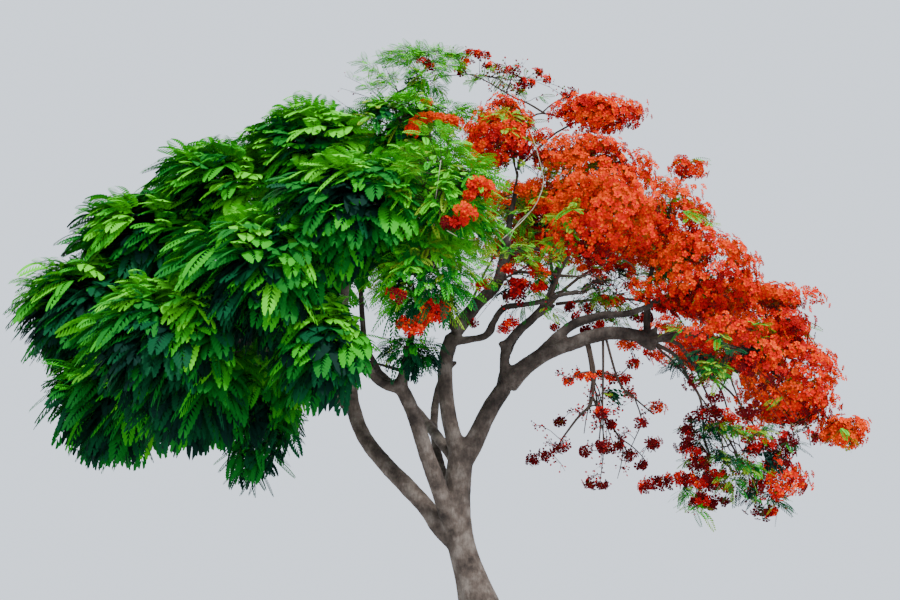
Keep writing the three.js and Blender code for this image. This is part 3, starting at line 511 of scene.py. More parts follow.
# Sprays of fronds in the same way, and how much lighter their painted light is than the mass's own.
LONE_SPRAYS = {
    "leaves_arch": (
        (388, 55, 0.3, -0.2), (394, 50, 0.3, 0.2), (402, 47, 0.4, 0.2), (411, 45, 0.4, 0.2),
        (420, 44, 0.4, 0.1), (429, 45, 0.4, 0.1), (437, 48, 0.3, 0), (443, 54, 0.3, 0),
        (398, 58, 0.4, 0), (408, 56, 0.5, 0.2), (417, 55, 0.5, 0.2), (441, 62, 0.4, -0.1),
        (436, 69, 0.4, -0.1), (424, 77, 0.4, -0.2), (414, 71, 0.4, -0.1), (452, 46, 0.2, -0.3),
        (458, 50, 0.2, -0.3), (381, 78, 0.3, 0), (388, 84, 0.3, 0.1), (376, 86, 0.3, 0.1),
        (392, 77, 0.3, 0), (366, 84, 0.3, 0), (363, 61, 0.3, -0.3), (345, 76, 0.2, -0.1),
        (372, 72, 0.3, -0.3), (340, 88, 0.3, 0.2), (350, 92, 0.3, 0.2), (330, 95, 0.3, 0.2),
        (362, 97, 0.3, 0.1),
    ),
    "leaves_hanging": (
        (245, 474, 0.2, 0), (253, 482, 0.2, 0), (262, 476, 0.2, -0.2), (250, 464, 0.3, 0),
        (262, 464, 0.3, 0), (272, 458, 0.3, -0.1), (238, 460, 0.3, 0.1),
    ),
    "leaves_top_centre": ((462, 108, 0.3, 0), (470, 112, 0.3, 0.1), (466, 117, 0.4, 0.1)),
    "leaves_front_centre": (
        (418, 128, 0.9, 0.5), (428, 126, 0.9, 0.5), (440, 128, 0.9, 0.4), (450, 132, 0.9, 0.3),
        (408, 140, 0.9, 0.4), (400, 148, 0.9, 0.5), (404, 165, 0.9, 0.4), (420, 172, 0.9, 0.2),
        (446, 180, 0.9, 0.2), (440, 216, 0.9, 0.4), (456, 207, 0.9, 0.4), (482, 175, 0.8, 0.3),
        (494, 178, 0.8, 0.4), (486, 226, -0.3, 0), (492, 233, -0.6, -0.2), (480, 238, -0.5, -0.2),
        (488, 241, -0.6, -0.3), (497, 228, -0.6, 0),
    ),
    "bloom_arch": (
        (478, 78, 0.3, 0), (485, 76, 0.3, -0.2), (473, 82, 0.3, -0.2), (519, 92, 0.3, 0.2),
        (541, 96, 0.2, 0),
    ),
    "bloom_upper_left": (
        (498, 115, 0.6, 0.3), (506, 116, 0.6, 0.3), (514, 114, 0.6, 0.3), (491, 118, 0.6, 0.2),
        (520, 165, 0.2, -0.5),
    ),
    "bloom_centre": (
        (545, 172, 0.9, 0.3), (555, 170, 0.9, 0.2), (562, 176, 0.9, 0.1), (536, 200, 0.9, 0.4),
        (522, 212, 0.9, 0.4), (548, 219, 0.9, 0.2), (500, 182, 0.8, 0.2), (505, 190, 0.8, 0.3),
        (505, 213, 0.9, 0.2), (512, 225, 0.9, 0.3), (528, 228, 0.9, 0.2), (540, 232, 0.9, 0),
        (488, 210, 0.8, -0.3), (495, 220, 0.8, -0.4), (484, 228, 0.8, -0.5), (498, 204, 0.8, 0),
    ),
    "bloom_inner": (
        (510, 248, 0.8, 0.2), (518, 246, 0.8, 0.3), (526, 246, 0.8, 0.2), (504, 252, 0.8, 0.1),
        (517, 259, 0.7, 0.6), (525, 256, 0.8, 0.6), (534, 258, 0.7, 0.4), (529, 263, 0.7, 0.5),
        (480, 251, 0.7, 0.3), (477, 258, 0.7, 0.2), (485, 262, 0.6, 0), (565, 254, 0.5, 0.2),
        (562, 260, 0.5, 0.1), (548, 320, 0.1, 0.2), (556, 317, 0.1, 0.2),
    ),
    "bloom_middle": (
        (590, 265, 0.5, 0.3), (598, 262, 0.5, 0.3), (576, 257, 0.5, 0.2), (620, 255, 0.5, 0.1),
        (622, 262, 0.5, 0.1), (597, 295, 0.7, -0.1), (605, 291, 0.7, 0), (600, 301, 0.7, -0.1),
        (612, 297, 0.6, 0.4), (620, 312, 0.5, 0.2), (627, 310, 0.5, 0.2), (612, 330, 0.4, 0.3),
        (602, 332, 0.4, 0.3), (620, 325, 0.4, 0.3),
    ),
    "bloom_low": (
        (702, 422, 0.5, -0.2), (708, 429, 0.5, -0.2), (703, 436, 0.5, -0.4), (722, 423, 0.6, 0.3),
        (730, 426, 0.6, 0.3), (736, 432, 0.5, 0.2), (715, 428, 0.6, 0.1), (719, 457, 0.7, -0.1),
        (726, 461, 0.7, -0.1), (735, 459, 0.7, 0), (742, 463, 0.7, 0), (748, 469, 0.6, 0.4),
        (756, 471, 0.6, 0.5), (728, 481, 0.6, 0.1), (736, 486, 0.6, 0), (741, 493, 0.5, -0.3),
        (748, 498, 0.5, -0.3), (755, 500, 0.5, -0.3), (774, 502, 0.3, 0.7), (779, 506, 0.3, 0.7),
        (693, 511, 0.3, 1), (701, 511, 0.3, 1), (682, 492, 0.3, 0.6), (690, 494, 0.3, 0.6),
        (762, 470, 0.5, 0.3),
    ),
    "bloom_front_low": (
        (674, 362, 0.4, -0.4), (670, 370, 0.4, -0.4), (694, 355, 0.5, -0.2), (706, 369, 0.6, 0.5),
        (714, 367, 0.6, 0.5), (721, 373, 0.6, 0.4), (711, 376, 0.6, 0.4), (728, 352, 0.6, 0),
        (792, 425, 0.2, 0.7), (799, 423, 0.2, 0.8), (787, 430, 0.2, 0.3), (718, 338, 0.6, 0.6),
    ),
    "bloom_upper_right": ((676, 198, 0.2, 0), (688, 212, 0.8, 0), (697, 215, 0.7, 0)),
}
# Shoots that a mass's branchlets may leave, besides its own stem and twigs.
CARRIERS = {
    "bloom_hanging": (
        "hanger_left", "hanger_fork", "hanger_right", "hanger_span", "hanger_middle", "hanger_low",
        "hanger_low_right", "hanger_left_tip", "hanger_cross", "hanger_band", "hanger_band_right",
    ),
    "bloom_arch": ("top_twig", "top_rise", "top_side"),
    "bloom_top": ("top_fork", "fork_rise"),
    "bloom_low": (
        "drooper_inner", "drooper_long", "drooper_third", "drooper_fourth", "drooper_fifth",
        "drooper_tip", "drooper_back", "drooper_right", "drooper_far",
    ),
    "bloom_front_low": ("drooper_outer", "drooper_back", "drooper_sixth"),
    "leaves_arch": ("bough_top_arch",),
}

UP = np.array((0.0, 0.0, 1.0))
GOLDEN_ANGLE = math.pi * (3 - math.sqrt(5))
FULL_TURN = 2 * math.pi
# The range that most random turns are drawn from.
ANY_TURN = 6.28
CURVE_STEP = 1e-3
UPRIGHT = 1e-3
TINY = 1e-6
WORD = 0xFFFFFFFF
WORD_STEP = 0x6D2B79F5
# The middle of the crown, which fronds turn away from.
HEART = np.array((-0.5, 0.6, 4.2))
# Each job on a mass draws its own random numbers, from these seeds on.
SEEDS = {"twigs": 1000, "flowering": 2000, "fronds": 3000, "blossom": 4000, "buds": 5000}
# How finely the limbs are sampled, and how near them foliage is tested, to keep it clear of them.
LIMB_SAMPLES = 50
NEAR_LIMBS = 0.3

# How far leaf and petal may stand proud of the CAD box, as a share of its side, and their breadth.
PROUD_SHARE = 0.03
OWN_BREADTH = 0.09

# The camera: where it stands, how far it looks up, its lens in pixels and the picture's size.
CAMERA = np.array((-0.5, -13.0, 0.8))
LOOKS_UP = math.radians(14.77)
LENS = 1100
PICTURE = (900, 600)


def seeded(seed):
    """A source of random numbers from 0 to 1 that the solids use too."""
    state = seed
    while True:
        state = (state + WORD_STEP) & WORD
        mixed = ((state ^ state >> 15) * (1 | state)) & WORD
        mixed = (mixed + (mixed ^ mixed >> 7) * (61 | mixed) & WORD) & WORD ^ mixed
        yield (mixed ^ mixed >> 14) / (WORD + 1)


def dice(job, mass):
    """One job's own random draws for one mass."""
    return np.random.default_rng(SEEDS[job] + mass.seed)


def unit(vectors):
    return vectors / np.maximum(np.linalg.norm(vectors, axis=-1, keepdims=True), 1e-9)


def leg_end(point, leg):
    """Where a growth leg from the point ends."""
    length, heading, rise = leg[0], math.radians(leg[1]), math.radians(leg[2])
    way = (math.cos(heading) * math.cos(rise), math.sin(heading) * math.cos(rise), math.sin(rise))
    return point + length * np.array(way)


def seen_at(across, down, depth):
    """The place on the plane y = depth that the camera sees at a pixel."""
    right, up = (across - PICTURE[0] / 2) / LENS, (PICTURE[1] / 2 - down) / LENS
    ahead = math.cos(LOOKS_UP) - up * math.sin(LOOKS_UP)
    way = np.array((right, ahead, math.sin(LOOKS_UP) + up * math.cos(LOOKS_UP)))
    return CAMERA + way * (depth - CAMERA[1]) / ahead


def along(points, t):
    """Places on the smooth curve through the points, at shares t of its length."""
    last = len(points) - 1
    spot = np.clip(np.atleast_1d(t), 0, 1) * last
    first = np.minimum(spot.astype(int), last - 1)
    w = (spot - first)[:, None]
    padded = np.vstack((2 * points[0] - points[1], points, 2 * points[-1] - points[-2]))
    a, b, c, d = (padded[first + k] for k in range(4))
    v0, v1 = (c - a) / 2, (d - b) / 2
    return ((2 * b - 2 * c + v0 + v1) * w + 3 * c - 3 * b - 2 * v0 - v1) * w * w + v0 * w + b


def tangent(points, t):
    """Directions of the same curve."""
    ahead, behind = (along(points, np.asarray(t) + step) for step in (CURVE_STEP, -CURVE_STEP))
    return unit(ahead - behind)


@functools.cache
def limb_curves():
    """The points of every limb and shoot's middle line, worked out outward from the foot."""
    curves = {}
    for name, (parent, at, _, legs) in {**LIMBS, **SHOOTS}.items():
        points = [along(curves[parent], at)[0] if parent else np.zeros(3)]
        for leg in legs:
            points.append(leg_end(points[-1], leg))
        curves[name] = np.array(points)
    return curves


def bough_radius(name, t):
    """A limb's or a shoot's radius at a share of its length."""
    root, tip = {**LIMBS, **SHOOTS}[name][2]
    return root + (tip - root) * t


def trunk_radius(t, angle, height):
    """The trunk's radius, with its flare and root lobes near the ground."""
    flare = FLARE * max(0, 1 - height / FLARE_TOP) ** FLARE_POWER
    lobe = LOBE_DEPTH * max(0, 1 - height / LOBE_TOP) ** 2 * math.cos(ROOT_LOBES * angle)
    return (bough_radius("trunk", t) + flare) * (1 + lobe)


class Mass:
    """One mass of foliage: its stem, its own space and the twigs that fill it."""

    def __init__(self, name, entry, index):
        limb, at, reach, size, habit = entry
        self.name = name
        self.seed = index + 1
        self.kind = "bloom" if name.startswith("bloom") else "leaves"
        self.habit = HABITS[habit]
        self.size = np.array(size)
        self.share = min(max(min(size) / FULL_SIZE_AT, SMALLEST_SHARE), LARGEST_SHARE)
        self.root_radius = min(STEM_RADII[0], STEM_TO_BOUGH * bough_radius(limb, at))
        start = along(limb_curves()[limb], at)[0]
        self.centre = leg_end(start, reach)
        bend = (start + self.centre) / 2 + UP * STEM_ARCH * reach[0]
        self.stem = np.array((start, bend, self.centre))
        self.walls = []

    def support(self, way):
        """How far from the middle a plane square to the direction touches the ellipsoid."""
        return np.linalg.norm(self.size * way)

    def wall_against(self, other):
        """The plane where this mass's space ends and its neighbour's begins, if they meet."""
        off = other.centre - self.centre
        apart = np.linalg.norm(off)
        way = off / apart
        own = self.support(way)
        reach = apart * own / (own + other.support(way))
        if reach < own + SPACE_MARGIN:
            self.walls.append((way, reach - SPACE_MARGIN))

    def holds(self, points, over=0.0):
        """Which points are in the mass's own space, or no further than over outside it."""
        off = np.atleast_2d(points) - self.centre
        inside = np.linalg.norm(off / (self.size + over), axis=1) <= 1
        for way, reach in self.walls:
            inside &= off @ way < reach + over
        return inside

    def first_twigs(self):
        """The twigs that the mass's solid has too: (root, tip) of each."""
        rule = TWIG_RULE[self.kind]
        draw = seeded(self.seed)
        count = FEWER_TWIGS if self.share < FEWER_BELOW else rule["twigs"]
        enters = 0.0
        while enters < STEM_ENTERS_BY and not self.holds(along(self.stem, enters))[0]:
            enters += STEM_STEP
        twigs = []
        for k in range(count):
            height = 1 - (2 * k + 1) / count
            turn = k * GOLDEN_ANGLE + next(draw) * SPREAD_JITTER
            level = math.sqrt(1 - height * height)
            out = np.array((level * math.cos(turn), level * math.sin(turn), height))
            if k == 0:
                out = tangent(self.stem, 1 - CURVE_STEP)[0]
            reach = 1 / np.linalg.norm(out / self.size)
            at = enters + (LAST_TWIG_AT - enters) * (count - k - TWIG_LAG) / count
            end = max(SHORTEST_REACH * reach, reach - rule["length"] * self.share * OUTER_LEAF)
            twigs.append((along(self.stem, at)[0], self.centre + out * end))
            for _ in range(rule["forks"]):
                next(draw)
        return twigs

    def held_back(self, frond_length):
        """How far inside the space's edge the branchlets end, to leave room for what they carry."""
        if self.kind == "leaves":
            return FROND_ROOM * frond_length * self.habit["length"]
        return HEAD_ROOM * self.habit["head"]

    def grow(self, frond_length):
        """Carries the first twigs on: branchlets by the golden angle out to the space's edge."""
        rng = np.random.default_rng(self.seed)
        self.find_tips(frond_length, rng)
        self.join_tips(rng)
        return self

    def find_tips(self, frond_length, rng):
        """The branchlets' tips: even over a lumpy edge, some deeper, and those picked by eye."""
        habit, (a, b, c) = self.habit, self.size
        pairs = ((a * b) ** AREA_POWER + (a * c) ** AREA_POWER + (b * c) ** AREA_POWER) / 3
        area = 4 * math.pi * pairs ** (1 / AREA_POWER)
        count = max(FEWEST_TIPS, round(habit["tips"] * area))
        k = np.arange(count)
        height = 1 - (2 * k + 1) / count
        turn = k * GOLDEN_ANGLE + rng.random(count) * SPREAD_JITTER
        level = np.sqrt(1 - height * height)
        out = np.stack((level * np.cos(turn), level * np.sin(turn), height), 1)
        reach = 1 / np.linalg.norm(out / self.size, axis=1)
        places = (self.centre + out * reach[:, None]) * LUMPS_PER_METRE
        hollow = np.clip(noise_at(places) + LUMP_LEVEL, 0, 1)
        reach = reach * (1 + habit["rough"] * (LUMP_RISE - LUMP_DEPTH * hollow))
        room = self.held_back(frond_length) * rng.uniform(*ROOM_RANGE, count)
        outer = np.maximum(reach - room, SHORTEST_REACH * reach)
        walled = outer.copy()
        for way, wall in self.walls:
            facing = out @ way
            short = SHORT_OF_WALL * wall / np.maximum(facing, TINY)
            walled = np.where(facing * walled > wall, short, walled)
        inner = walled < WALLED_IN[self.kind] * outer
        keep = (~inner | (rng.random(count) < KEPT_AT_WALLS)) & (height > habit["under"])
        sunk = rng.random(count) < habit["deep"]
        end = np.where(sunk, walled * rng.uniform(*DEEP_RANGE, count), walled)
        deep = inner | (end < DEEP_BELOW * walled)

        heads, sprays = LONE_HEADS.get(self.name, ()), LONE_SPRAYS.get(self.name, ())
        rows = (*heads, *sprays)
        lone = [seen_at(u, v, self.centre[1] - self.size[1] * ahead) for u, v, ahead, _ in rows]
        lone = np.array(lone).reshape(-1, 3)
        self.tips = np.clip(np.vstack(((self.centre + out * end[:, None])[keep], lone)), *CAD_BOX)
        self.out = unit(self.tips - self.centre)
        self.height = (self.tips - self.centre)[:, 2] / self.size[2]
        self.deep = np.concatenate((deep[keep], np.zeros(len(lone), bool)))
        order = np.arange(len(self.tips)) - keep.sum()
        self.headed = (order >= 0) & (order < len(heads))
        self.sprayed = order >= len(heads)
        self.tint = np.concatenate((np.zeros(keep.sum()), [row[3] for row in rows]))

    def join_tips(self, rng):
        """Bows the first twigs, and runs a branchlet to each tip from the nearest wood."""
        carriers = CARRIERS.get(self.name, ())
        self.twigs = []
        for root, tip in self.first_twigs():
            length = np.linalg.norm(tip - root)
            bow = (root + tip) / 2 + UP * TWIG_BOW * length + rng.normal(0, TWIG_STRAY, 3)
            self.twigs.append(np.array((root, bow, tip)))
        bones = [along(self.stem, np.linspace(*STEM_FORKS))]
        bones += [along(limb_curves()[name], np.linspace(*SHOOT_FORKS)) for name in carriers]
        bones += [along(twig, np.linspace(*TWIG_FORKS)) for twig in self.twigs]
        bones = np.vstack(bones)
        gap = np.linalg.norm(self.tips[:, None] - bones, axis=2)
        if not carriers:
            gap = gap + INWARD * np.linalg.norm(bones - self.centre, axis=1)
        roots = bones[np.argmin(gap, axis=1)]
        run = self.tips - roots
        length = np.linalg.norm(run, axis=1, keepdims=True)
        stray = rng.normal(0, BRANCHLET_STRAY, run.shape) * length
        bend = roots + run / 2 + UP * self.habit["sag"] * length + stray
        self.branchlets = np.stack((roots, bend, self.tips), 1)
        self.ends = unit(self.tips - bend)


def noise_at(places):
    """Smooth noise at each place."""
    return np.array([noise.noise(place) for place in places])


def at_bezier(branchlets, t):
    """Places at shares t on many quadratic branchlets at once: (branchlets, len(t), 3)."""
    t = np.asarray(t, float)
    if t.ndim == 1:
        t = t[None, :]
    t = t[..., None]
    a, b, c = (branchlets[:, k, None] for k in range(3))
    return a * (1 - t) ** 2 + b * 2 * t * (1 - t) + c * t * t


@functools.cache
def masses():
    """Every mass, with its own space and its twigs grown."""
    entries = {**LEAF_MASSES, **BLOOM_MASSES}
    made = [Mass(name, entry, index) for index, (name, entry) in enumerate(entries.items())]
    for mass in made:
        for other in made:
            if other is not mass:
                mass.wall_against(other)
    length = bpy.context.scene.flame_tree_fronds.length
    return [mass.grow(length) for mass in made]


@functools.cache
def limb_points():
    """Points along the limbs with their radius, to keep foliage clear of the bare wood."""
    share = np.linspace(0, 1, LIMB_SAMPLES)
    middles = np.vstack([along(limb_curves()[name], share) for name in LIMBS])
    radii = np.concatenate([bough_radius(name, share) for name in LIMBS])
    return middles, radii


def clear_of_limbs(points, margin):
    """Which of the rows of points (rows, points in a row, 3) keep clear of every limb."""
    middles, radii = limb_points()
    low, high = points.min((0, 1)) - NEAR_LIMBS, points.max((0, 1)) + NEAR_LIMBS
    near = ((middles > low) & (middles < high)).all(1)
    clear = np.ones(len(points), bool)
    for middle, radius in zip(middles[near], radii[near]):
        clear &= (np.linalg.norm(points - middle, axis=2) > radius + margin).all(1)
    return clear


def in_the_box(points):
    """Which points keep a frond's or a flower's own breadth inside the room round the CAD box."""
    low, high = (np.array(corner) for corner in CAD_BOX)
    room = PROUD_SHARE * (high - low) - OWN_BREADTH
    return ((points > low - room) & (points < high + room)).all(-1)


def crossing(ways):
    """A level direction square to each way."""
    side = np.cross(ways, UP)
    flat = np.linalg.norm(side, axis=-1, keepdims=True) < UPRIGHT
    return unit(np.where(flat, np.cross(ways, (1.0, 0.0, 0.0)), side))


def turned(ways, turn):
    """The same, turned round each way by its own angle."""
    side = crossing(ways)
    lift = np.cross(side, ways)
    return side * np.cos(turn)[:, None] + lift * np.sin(turn)[:, None]


# Joined meshes from arrays


def tubes(paths, radii, sides):
    """Closed tapering tubes along many paths (tubes, stations, 3): vertices and triangles."""
    count, stations = paths.shape[:2]
    way = unit(np.gradient(paths, axis=1))
    side = crossing(unit(paths[:, -1] - paths[:, 0]))[:, None]
    side = unit(side - (side * way).sum(2, keepdims=True) * way)
    across = np.cross(way, side)
    turn = np.arange(sides) * FULL_TURN / sides
    ring = side[:, :, None] * np.cos(turn)[:, None] + across[:, :, None] * np.sin(turn)[:, None]
    verts = paths[:, :, None] + ring * radii[:, :, None, None]
    verts = verts.reshape(count, stations * sides, 3)
    tris = []
    for k in range(stations - 1):
        for j in range(sides):
            a, b = k * sides + j, k * sides + (j + 1) % sides
            tris += [(a, b, b + sides), (a, b + sides, a + sides)]
    top = (stations - 1) * sides
    for j in range(1, sides - 1):
        tris += [(0, j + 1, j), (top, top + j, top + j + 1)]
    return join_copies(verts, np.array(tris))


def join_copies(verts, tris):
    """Many copies of one shape, (copies, vertices, 3), as one list of vertices and triangles."""
    count, each = verts.shape[:2]
    offset = (np.arange(count) * each)[:, None, None]
    return verts.reshape(-1, 3), (tris[None] + offset).reshape(-1, 3)


def joined(parts):
    """Joins (vertices, triangles, material index of each triangle) into one such set."""
    verts, tris, slots, base = [], [], [], 0
    for points, faces, index in parts:
        verts.append(points)
        tris.append(faces + base)
        slots.append(np.broadcast_to(index, len(faces)))
        base += len(points)
    return np.vstack(verts), np.vstack(tris), np.concatenate(slots)


def mesh_piece(name, verts, tris, slots, materials, slot, nodes=(), smooth=False):
    """One piece from joined arrays, riding on the tree and standing for the nodes named."""
    mesh = bpy.data.meshes.new(name)
    mesh.vertices.add(len(verts))
    mesh.vertices.foreach_set("co", verts.astype(np.float32).ravel())
    mesh.loops.add(3 * len(tris))
    mesh.loops.foreach_set("vertex_index", tris.astype(np.int32).ravel())
    mesh.polygons.add(len(tris))
    mesh.polygons.foreach_set("loop_start", np.arange(0, 3 * len(tris), 3, dtype=np.int32))
    mesh.polygons.foreach_set("material_index", slots.astype(np.int32))
    mesh.polygons.foreach_set("use_smooth", np.full(len(tris), smooth))
    mesh.update(calc_edges=True)
    for material in materials:
        mesh.materials.append(material)
    return finished(bpy.data.objects.new(name, mesh), nodes)


def finished(piece, nodes):
    """Links a piece, rides it on the tree and hides the nodes it stands for."""
    bpy.context.scene.collection.objects.link(piece)
    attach(piece, "root")
    if nodes:
        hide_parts(*nodes)
    return piece


# Materials

# The roughness and the specular level of each finish.
BARK_FINISH = (0.88, 0.2)
TWIG_FINISH = (0.8, 0.2)
WHIP_FINISH = (0.7, 0.2)
LEAF_FINISH = (0.65, 0.06)
PETAL_FINISH = (0.85, 0.02)
BUD_FINISH = (0.6, 0.12)
FLOOR_FINISH = (0.9, 0.1)
# Painted shade where the crown would shade the bark: its colour darkens from the first height
# up to the second, down to the share of it given last.
PAINTED_SHADE_FROM = 2.2
PAINTED_SHADE_FULL_AT = 4.3
PAINTED_SHADE_SHARE = 0.4
# Where the bark's dark, middle and pale tones lie in the patches, and how far its grain is drawn
# out up the wood.
TONES_AT = (0.34, 0.5, 0.66)
DRAWN_OUT = (1, 1, 0.3)


def new_material(name, finish):
    """A material and its shader, with the finish set on the shader's own sockets."""
    material = bpy.data.materials.new(name)
    material.use_nodes = True
    shader = material.node_tree.nodes["Principled BSDF"]
    roughness, specular = finish
    shader.inputs["Roughness"].default_value = roughness
    shader.inputs["Specular IOR Level"].default_value = specular
    return material, shader


def plain_material(name, colour, finish):
    """A material of one plain colour."""
    material, shader = new_material(name, finish)
    shader.inputs["Base Color"].default_value = (*colour, 1)
    return material


def bark_material(settings):
    """Grey-brown bark: broad weathered patches, furrows that run up the wood with painted shade in
    them, a fine grain, and painted shade that darkens it up into the crown.
    """
    material, shader = new_material("bark", BARK_FINISH)
    tree = material.node_tree

    def feed(node, sources):
        """Links the node's sockets, each to (another node, its output)."""
        for socket, (source, output) in sources.items():
            tree.links.new(source.outputs[output], node.inputs[socket])

    def add(kind, values, sources, operation=None):
        node = tree.nodes.new("ShaderNode" + kind)
        if operation:
            node.operation = operation
        for socket, value in values.items():
            node.inputs[socket].default_value = value
        feed(node, sources)
        return node

    place = add("TexCoord", {}, {})
    here = {"Vector": (place, "Object")}
    drawn = {"Vector": (add("Mapping", {"Scale": DRAWN_OUT}, here), "Vector")}

    patches = add("TexNoise", {"Scale": 4.5, "Detail": 5, "Roughness": 0.62}, here)
    tones = add("ValToRGB", {}, {"Fac": (patches, "Fac")})
    ramp = tones.color_ramp.elements
    ramp[0].position = TONES_AT[0]
    ramp[0].color = (*settings.dark, 1)
    ramp[1].position = TONES_AT[2]
    ramp[1].color = (*settings.pale, 1)
    ramp.new(TONES_AT[1]).color = (*settings.middle, 1)

    furrows = add("TexNoise", {"Scale": 34, "Detail": 6, "Roughness": 0.7}, drawn)
    # Painted shade in the furrows: the bark's colour darkens where the furrows sink.
    depths = {"From Min": 0.3, "From Max": 0.7, "To Min": 0.62, "To Max": 1.15}
    shade = add("MapRange", depths, {"Value": (furrows, "Fac")})
    heights = add("SeparateXYZ", {}, here)
    # Painted shade: the bark's colour darkens with height, where the crown would shade it.
    rise = {"From Min": PAINTED_SHADE_FROM, "From Max": PAINTED_SHADE_FULL_AT, "To Min": 1, "To Max": PAINTED_SHADE_SHARE}
    painted_crown_shade = add("MapRange", rise, {"Value": (heights, "Z")})
    # The painted shade in the furrows and the painted shade up into the crown together scale the
    # bark's tones.
    both = add("Math", {}, {0: (shade, "Result"), 1: (painted_crown_shade, "Result")}, "MULTIPLY")
    shaded = {0: (tones, "Color"), "Scale": (both, "Value")}
    mixed = add("VectorMath", {}, shaded, "SCALE")

    grain = add("TexNoise", {"Scale": 120, "Detail": 4}, drawn)
    relief = add("Math", {}, {0: (furrows, "Fac"), 1: (grain, "Fac")}, "ADD")
    bump = add("Bump", {"Strength": 0.75, "Distance": 0.008}, {"Height": (relief, "Value")})
    feed(shader, {"Base Color": (mixed, "Vector"), "Normal": (bump, "Normal")})
    return material


# Settings


def colour_setting(name, description, colour):
    """A setting for a colour."""
    return FloatVectorProperty(name=name, description=description, default=colour,
                               subtype="COLOR", size=3, min=0, max=1)


class FlameTreeBark(bpy.types.PropertyGroup):
    voxel: FloatProperty(name="Mesh step", description="Size of the bark mesh's faces",
                         default=0.0205, unit="LENGTH")
    relief: FloatProperty(name="Relief", description="How far the bark's lumps stand out",
                          default=0.007, unit="LENGTH")
    furrow: FloatProperty(name="Furrows", description="How deep the bark's furrows are",
                          default=0.005, unit="LENGTH")
    collar: FloatProperty(name="Collar", description="How far a bough swells where it leaves another",
                          default=0.3)
    dark: colour_setting("Dark bark", "Colour in the bark's damp patches", (0.030, 0.022, 0.018))
    middle: colour_setting("Bark", "Colour of most of the bark", (0.082, 0.062, 0.050))
    pale: colour_setting("Pale bark", "Colour of the weathered patches", (0.17, 0.14, 0.118))
    twig: colour_setting("Twig", "Colour of the thin twigs", (0.045, 0.030, 0.022))
    whip: colour_setting("Whip", "Colour of the long pale shoots", (0.42, 0.42, 0.30))


class FlameTreeFronds(bpy.types.PropertyGroup):
    length: FloatProperty(name="Length", description="Length of a full frond", default=0.43,
                          unit="LENGTH")
    pairs: IntProperty(name="Pairs", description="Pairs of leaflet blades on a frond", default=10)
    deep_pairs: IntProperty(name="Deep pairs", description="Pairs of blades on a frond deep inside",
                            default=4)
    blade: FloatProperty(name="Blade", description="A leaflet blade's length to the frond's",
                         default=0.34)
    feather_blade: FloatProperty(name="Feather blade", description="The same on a fine open frond",
                                 default=0.24)
    plume_pairs: IntProperty(name="Plume pairs", description="Pairs of blades on a slim frond",
                             default=8)
    plume_blade: FloatProperty(name="Plume blade", description="A slim frond's blade to its length",
                               default=0.2)
    # The first five greens are one green painted in light and shade, from painted deep shade inside
    # the crown to painted sunlight on top and outside; olive is the own colour of fronds among the
    # blossom.
    night: colour_setting("Night green", "Fronds deep inside", (0.001, 0.018, 0.011))
    shade: colour_setting("Shade green", "Fronds in the shade", (0.002, 0.055, 0.017))
    middle: colour_setting("Middle green", "Most fronds", (0.006, 0.13, 0.012))
    painted_lit: colour_setting("Fresh green", "Fronds in the light", (0.022, 0.29, 0.010))
    sunlit: colour_setting("Sunlit green", "Fronds on top and the newest ones", (0.085, 0.50, 0.014))
    olive: colour_setting("Olive green", "Fronds among the blossom", (0.20, 0.36, 0.02))


class FlameTreeBlossom(bpy.types.PropertyGroup):
    flower: FloatProperty(name="Flower", description="Radius of a flower", default=0.052,
                          unit="LENGTH")
    # Orange, scarlet, crimson and wine are one red painted in light and shade on the petals: orange is
    # painted sunlight, crimson painted shade and wine the deepest painted shade. Crimson and wine are
    # also the buds' own colours, crimson the stamens' own colour, and gold is the standard petal's
    # own.
    scarlet: colour_setting("Scarlet", "Most petals", (0.60, 0.013, 0.005))
    orange: colour_setting("Orange", "Petals in the sun", (0.72, 0.052, 0.005))
    crimson: colour_setting("Crimson", "Petals in the shade", (0.36, 0.008, 0.009))
    wine: colour_setting("Wine", "Old petals and buds", (0.085, 0.004, 0.006))
    gold: colour_setting("Gold", "The standard petals", (0.74, 0.10, 0.005))
    calyx: colour_setting("Calyx", "Stalks and sepals", (0.20, 0.12, 0.02))


class FlameTreeStage(bpy.types.PropertyGroup):
    floor: FloatProperty(name="Floor", description="Radius of the floor", default=70,
                         unit="LENGTH")
    sun: FloatProperty(name="Sun", description="Strength of the sun lamp", default=5.5)
    sky: FloatProperty(name="Sky", description="Strength of the sky", default=1.5)
    sky_colour: colour_setting("Sky colour", "Colour of the soft light all round", (0.80, 0.88, 1.0))


# Bark

# Branch scars: the limb, the share along it, the side it faces (270 is towards -Y) and its radius.
SCARS = (
    ("trunk", 0.46, 285, 0.050), ("trunk", 0.56, 262, 0.040), ("trunk", 0.68, 250, 0.045),
    ("trunk", 0.92, 280, 0.035), ("trunk", 0.30, 250, 0.060), ("trunk", 0.62, 80, 0.050),
    ("bough_right", 0.12, 262, 0.035), ("bough_right", 0.7, 215, 0.035),
    ("bough_centre", 0.2, 265, 0.035), ("bough_centre", 0.55, 290, 0.04),
    ("bough_left", 0.4, 262, 0.04), ("bough_far_left", 0.3, 250, 0.045),
    ("bough_far_left", 0.42, 270, 0.04), ("bough_right_out", 0.4, 265, 0.04),
    ("bough_centre_slant", 0.4, 280, 0.035), ("bough_left", 0.85, 300, 0.035),
)
# Shoots thicker than this at the root are part of the bark's skin, and thinner ones are twigs.
THICK_SHOOT = 0.03
TRUNK_SIDES = 40
TRUNK_STEPS = 46
TRUNK_SINK = 0.06
BOUGH_SIDES = 20
BOUGH_STEP = 0.07
FEWEST_STEPS = 6
# A bough's collar dies out over this many of its radii, and its last share is rounded, down to a
# blunt end.
COLLAR_REACH = 2.2
ROUNDED = 0.03
BLUNT_END = 0.04
SOFTENED = 0.5
SOFTENINGS = 7
